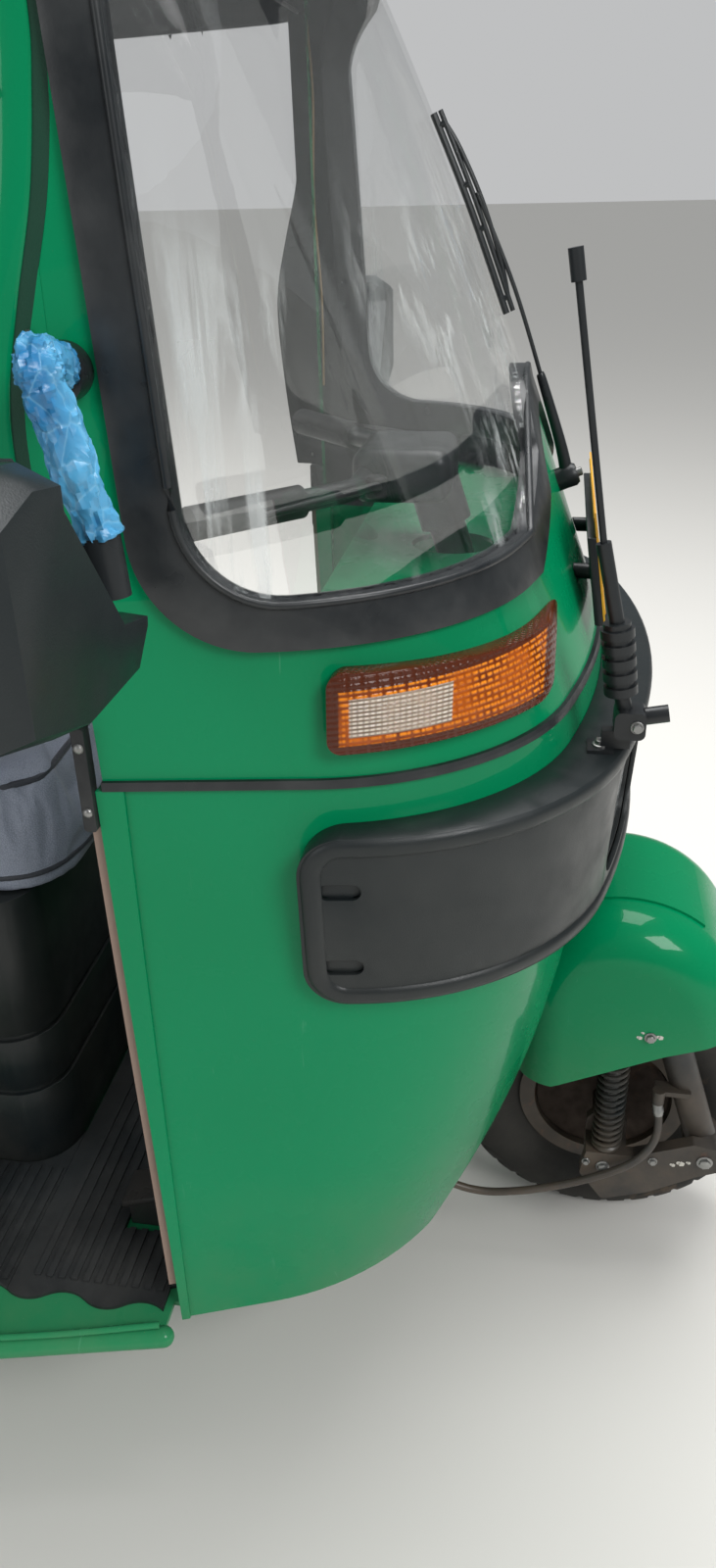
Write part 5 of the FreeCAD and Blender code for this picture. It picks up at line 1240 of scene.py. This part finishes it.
def make_side_mats():
    """The driver's mat goes on beside the seat on both sides, with the same ribs and wavy edge."""
    parts = []
    for side in (-1, 1):
        edge = []
        for i in range(4):
            for k in range(8):
                t = k / 8
                bulge = 7.0 * math.sin(math.pi * t) * (1 if i % 2 else -1)
                edge.append((484.0 + bulge, 650.5 + (i + t) * 44.0))
        edge.append((484.0, 826.5))
        verts, faces = [], []
        for x, s in edge:
            seat = 311.5
            if s < 712.0:
                seat = 251.5 + math.sqrt(max(0.0, 3600.0 - (712.0 - s) ** 2))
            for inner, z in ((x, 262.2), (x, 265.0), (x - 1.0, 266.0), (seat, 266.0), (seat, 262.2)):
                verts.append(P(side * inner, s, z))
        for i in range(len(edge) - 1):
            for j in range(4):
                a = i * 5 + j
                faces.append([a, a + 1, a + 6, a + 5])
        faces.append([0, 1, 2, 3, 4])
        last = (len(edge) - 1) * 5
        faces.append([last + j for j in range(5)])
        parts.append((verts, faces))
        for i in range(12):
            s = 654.0 + i * 14.0
            x0, x1 = sorted((side * 316.0, side * 474.0))
            parts.append(block((x0, s, 265.8), (x1, s + 7.0, 269.0)))
    merge("side_mats", parts, "mat", "body")


def make_sill_lips():
    """A rolled bright lip along the outside of each sill."""
    parts = []
    for side in (-1, 1):
        line = [P(side * x, s, 271.0)
                for x, s in ((506.0, 470.0), (545.0, 632.0), (600.0, 950.0), (627.0, 1436.0))]
        parts.append(tube(smooth_line(line, 12), 0.0035, 10))
    merge("sill_lips", parts, "body", "body")


def make_spring():
    """The front spring's coil round its damper, between its two cups."""
    x, station, low, high, turns, steps, coil_radius = -112, -3, 207.0, 394.0, 18, 28, 17.2
    line = []
    for i in range(turns * steps + 1):
        a = 2 * math.pi * i / steps
        line.append(P(x + coil_radius * math.cos(a), station + coil_radius * math.sin(a),
                      low + (high - low) * i / (turns * steps)))
    up = Vector((0, 0, 1))
    foot = P(x, station, 200)
    parts = [tube(line, 0.0026, 8)]
    parts.append(turned([(0.0005, 0.0165), (0.002, 0.0198), (0.006, 0.0198), (0.008, 0.0175)], foot, up, 32))
    parts.append(turned([(0.192, 0.0175), (0.194, 0.0198), (0.198, 0.0198), (0.1995, 0.0165)], foot, up, 32))
    parts.append(turned([(0.001, 0.0118), (0.128, 0.0118), (0.130, 0.010), (0.1302, 0.0055), (0.199, 0.0055)],
                        foot, up, 24))
    obj = merge("front_spring_coil", parts, "spring", "steering")
    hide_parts("front_spring")


# The brake hose's route from the union on the link to the one below the floor
HOSE_POINTS = [(-118, -60, 282), (-124, -66, 252), (-134, -59, 223), (-140, -35, 194), (-142, 8, 168),
               (-142, 56, 144), (-142, 106, 126), (-143, 156, 118), (-145, 202, 132), (-147, 236, 164),
               (-149, 268, 200), (-150, 313.4, 228)]


def make_hose():
    """The brake hose along its route from the link to below the floor, and a sleeve at its front end that rides
    on the steering.
    """
    data = bpy.data.curves.new("hose_route", "CURVE")
    data.dimensions = "3D"
    spline = data.splines.new("NURBS")
    spline.points.add(len(HOSE_POINTS) - 1)
    for point, place in zip(spline.points, HOSE_POINTS):
        point.co = (*P(*place), 1.0)
    spline.order_u = 3
    spline.use_endpoint_u = True
    spline.resolution_u = 12
    route = bpy.data.objects.new("hose_route", data)
    bpy.context.collection.objects.link(route)
    bpy.context.view_layer.update()
    line = [v.co.copy() for v in bpy.data.meshes.new_from_object(route).vertices]
    bpy.data.objects.remove(route)
    verts, faces = tube(line, 0.0052, 14)
    hose = new_object("brake_hose_tube", verts, faces)
    hose.data.materials.append(MATERIALS["hose"])
    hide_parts("brake_hose")
    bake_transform(hose)
    sleeve = turned([(-0.004, 0.0058), (0.0, 0.0066), (0.006, 0.0066), (0.007, 0.0072), (0.012, 0.0072),
                     (0.013, 0.0062), (0.016, 0.0062)], line[0], line[4] - line[0], 18)
    merge("hose_sleeve", [sleeve], "bright", "steering")


def make_wiper():
    """A sprung wire arm in a folded cover, and a blade carried by a yoke on the arm's tip."""
    out = Vector((0, -0.92, 0.39))
    blade = [P(6, 176, 1196), P(6, 215, 1292), P(6, 252, 1372)]
    spine = smooth_line([p + out * 0.010 for p in blade], 10)
    lip = smooth_line([p + out * 0.003 for p in blade], 10)
    tip = spine[len(spine) // 2 + 1] + out * 0.004
    cover, pivot = P(6, 133, 1131), P(6, 101, 1036)
    parts = [tube(spine, 0.0024, 8), tube(lip, 0.0034, 8)]
    for share in (0.12, 0.38, 0.62, 0.88):
        i = round(share * (len(spine) - 1))
        parts.append(tube([spine[i], lip[i]], 0.0030, 8))
    yoke = [spine[round(k * (len(spine) - 1))] + out * h for k, h in
            ((0.12, 0.0), (0.25, 0.004), (0.5, 0.006), (0.75, 0.004), (0.88, 0.0))]
    parts.append(tube(smooth_line(yoke, 6), 0.0022, 8))
    parts.append(tube(smooth_line([tip, tip.lerp(cover, 0.5) + out * 0.004, cover], 8), 0.0021, 8))
    arm = [cover + (tip - cover) * 0.05, cover, P(6, 112, 1072), P(6, 103, 1040)]
    parts.append(tube(smooth_line(arm, 6), lambda t: 0.0036 + 0.0034 * t, 12))
    parts.append(turned([(-0.020, 0.012), (-0.004, 0.012), (0.006, 0.0125), (0.010, 0.010)], pivot, out, 20))
    obj = merge("wiper_assembly", parts, "smooth_plastic", "body")
    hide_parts("wiper")
    pin = turned([(0.009, 0.0046), (0.015, 0.0046), (0.0156, 0.0032)], pivot, out, 16)
    merge("wiper_pin", [pin], "bright", "body")


def make_screen_lip():
    """The rounded inner lip of the windscreen's rubber, and a thin wire down the left pillar."""
    tree = node_tree_of("windscreen_gasket")
    low, top, round_off = 1038.5, 1509.5, 73.0

    def side_hit(side, station, z):
        return tree.ray_cast(P(side * 700, station, z), Vector((-side, 0, 0)))[0]

    def rear(z):
        return 382.0 + (409.5 - 382.0) * (z - low) / (top - low)

    def run(side):
        """Down the rear edge, round the lower corner, and along the bottom to the middle."""
        heights = [top - 60.0 - i * 14.0 for i in range(24)]
        out = [side_hit(side, rear(z) + 0.5, z) for z in heights]
        for i in range(13):
            a = math.pi / 2 * i / 12
            z = low + round_off - round_off * math.sin(a)
            out.append(side_hit(side, rear(z) - round_off + round_off * math.cos(a), z))
        for i in range(1, 30):
            a = math.pi + math.radians(2.0) * i if side < 0 else -math.radians(2.0) * i
            way = Vector((math.cos(a), math.sin(a), 0))
            hit = tree.ray_cast(P(0, 330, low) + way * 0.8, -way)[0]
            if hit is not None and hit.y < P(0, 300, 0).y and abs(hit.x) > 0.232:
                out.append(hit)
        for i in range(12):
            x = 228.0 * (1 - i / 12.0)
            rise = 109.0 * (1 - (x / 230.0) ** 2)
            out.append(tree.ray_cast(P(side * x, -200, low + rise), Vector((0, 1, 0)))[0])
        return [p for p in out if p is not None]

    line = run(-1) + run(1)[::-1]
    clean = [line[0]]
    for p in line[1:]:
        if (p - clean[-1]).length > 0.004:
            clean.append(p)
    merge("screen_lip", [tube(clean, 0.0034, 10)], "gasket", "body")
    wire = smooth_line([P(438, 462, 1560), P(441, 452, 1430), P(446, 456, 1300),
                        P(448, 450, 1180), P(452, 452, 1060)], 10)
    merge("pillar_wire", [tube(wire, 0.0016, 8)], "wire", "body")


def make_plate_trim():
    """A pressed border round the blank number plate."""
    lo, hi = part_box("number_plate")
    parts = []
    inset = 0.007
    lean = (hi.y - lo.y) / (hi.z - lo.z)
    corners = [(lo.x + inset, lo.z + inset), (hi.x - inset, lo.z + inset),
               (hi.x - inset, hi.z - inset), (lo.x + inset, hi.z - inset)]
    line = []
    for (x0, z0), (x1, z1) in zip(corners, corners[1:] + corners[:1]):
        for k in range(12):
            t = k / 12
            z = z0 + (z1 - z0) * t
            line.append(Vector((x0 + (x1 - x0) * t, lo.y + lean * (z - lo.z) + 0.0001, z)))
    parts.append(tube(line, 0.0012, 6, True))
    merge("plate_border", parts, "plate", "body")


def make_lamp_insides():
    """Each headlamp's reflector and bulb, behind its lens."""
    shiny, bulbs = [], []
    tree = node_tree_of("headlamp_bowls")
    for side in (-1, 1):
        hit = tree.ray_cast(P(side * 182, -150, 766), Vector((0, 1, 0)))
        ahead = hit[1]
        centre = hit[0] + ahead * 0.0018
        shiny.append(turned([(0.0, 0.010), (0.0004, 0.024), (0.0018, 0.040), (0.0042, 0.054), (0.0044, 0.0555)],
                            centre, ahead, 48))
        bulbs.append(turned([(0.0002, 0.009), (0.003, 0.009), (0.0045, 0.006), (0.005, 0.002)],
                            centre, ahead, 20))
    merge("lamp_reflectors", shiny, "mirror", "body")
    merge("lamp_bulbs", bulbs, "lamp_glass", "body")


def make_hood_flap():
    """The flap that closes the hood's front against the top of the header."""
    tree = node_tree_of("upper_cowl")
    middle = P(0, 470, 1586)
    sections = []
    for i in range(61):
        a = math.pi + math.pi * i / 60
        way = Vector((math.cos(a), math.sin(a), 0))
        hit = tree.ray_cast(middle + way * 0.8, -way)[0]
        if hit is None or hit.y > P(0, 455, 0).y:
            continue
        x, y, back = hit.x * 0.996, hit.y + 0.0015, P(0, 459, 0).y
        between = (y + back) / 2
        sections.append([Vector((x, *p)) for p in ((y, 1.5895), (y, 1.5912), (between, 1.5965),
                                                   (back, 1.5985), (back, 1.5955), (between, 1.5935))])
    merge("hood_flap", [loft(sections)], "canvas", "body")


def make_engine_louvres():
    """Pressed louvres in the engine's door."""
    lo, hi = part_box("engine_door")
    parts = []
    for row in range(5):
        z = lo.z + 0.09 + row * 0.034
        for x0 in (-0.27, 0.05):
            section = []
            for x in (x0, x0 + 0.22):
                section.append([Vector((x, hi.y - 0.004, z)), Vector((x, hi.y - 0.004, z + 0.018)),
                                Vector((x, hi.y + 0.001, z + 0.012)), Vector((x, hi.y + 0.004, z + 0.004)),
                                Vector((x, hi.y + 0.0045, z))])
            parts.append(loft(section))
    merge("engine_door_louvres", parts, "body", "door")


def smooth_faces():
    """A node group that shades every face smooth, for use as a modifier."""
    group = bpy.data.node_groups.new("smooth_faces", "GeometryNodeTree")
    for way in ("INPUT", "OUTPUT"):
        group.interface.new_socket("Geometry", in_out=way, socket_type="NodeSocketGeometry")
    start, shade, end = (group.nodes.new(kind) for kind in
                         ("NodeGroupInput", "GeometryNodeSetShadeSmooth", "NodeGroupOutput"))
    group.links.new(start.outputs[0], shade.inputs["Geometry"])
    group.links.new(shade.outputs[0], end.inputs[0])
    return group


# Hard-edged solids that get rounded edges: node, width in metres, segments, least angle in degrees
SOFTENED = [("front_bumper", 0.0022, 2, 40.0), ("windscreen_gasket", 0.0042, 3, 40.0),
            ("mirror_housings", 0.008, 4, 20.0), ("driver_seat_base", 0.004, 2, 30.0),
            ("front_indicators", 0.0016, 2, 50.0), ("plate_holder", 0.0015, 2, 40.0),
            ("seam_brackets", 0.0015, 2, 40.0), ("brake_pedal", 0.002, 2, 40.0)]


def soften_nodes():
    """Rounded edges as modifiers, so that the solids' own meshes stay as they are."""
    group = smooth_faces()
    for name, width, segments, angle in SOFTENED:
        obj = nodes[name]
        obj.modifiers.new("smooth", "NODES").node_group = group
        obj.modifiers.new("weld", "WELD").merge_threshold = 0.00002
        bevel = obj.modifiers.new("bevel", "BEVEL")
        bevel.width = width
        bevel.segments = segments
        bevel.limit_method = "ANGLE"
        bevel.angle_limit = math.radians(angle)
        bevel.use_clamp_overlap = True
        bevel.harden_normals = True


for step in (make_camera, make_stage, dress_nodes, make_hose, make_tyres, make_cushions, make_hood,
             make_films, make_door_flanges, make_bumper_trim, make_side_mats, make_sill_lips,
             make_spring, make_wiper, make_screen_lip, make_plate_trim, make_lamp_insides,
             make_hood_flap, make_engine_louvres, make_fasteners, make_controls, soften_nodes):
    step()
bpy.context.scene.view_settings.view_transform = "Standard"
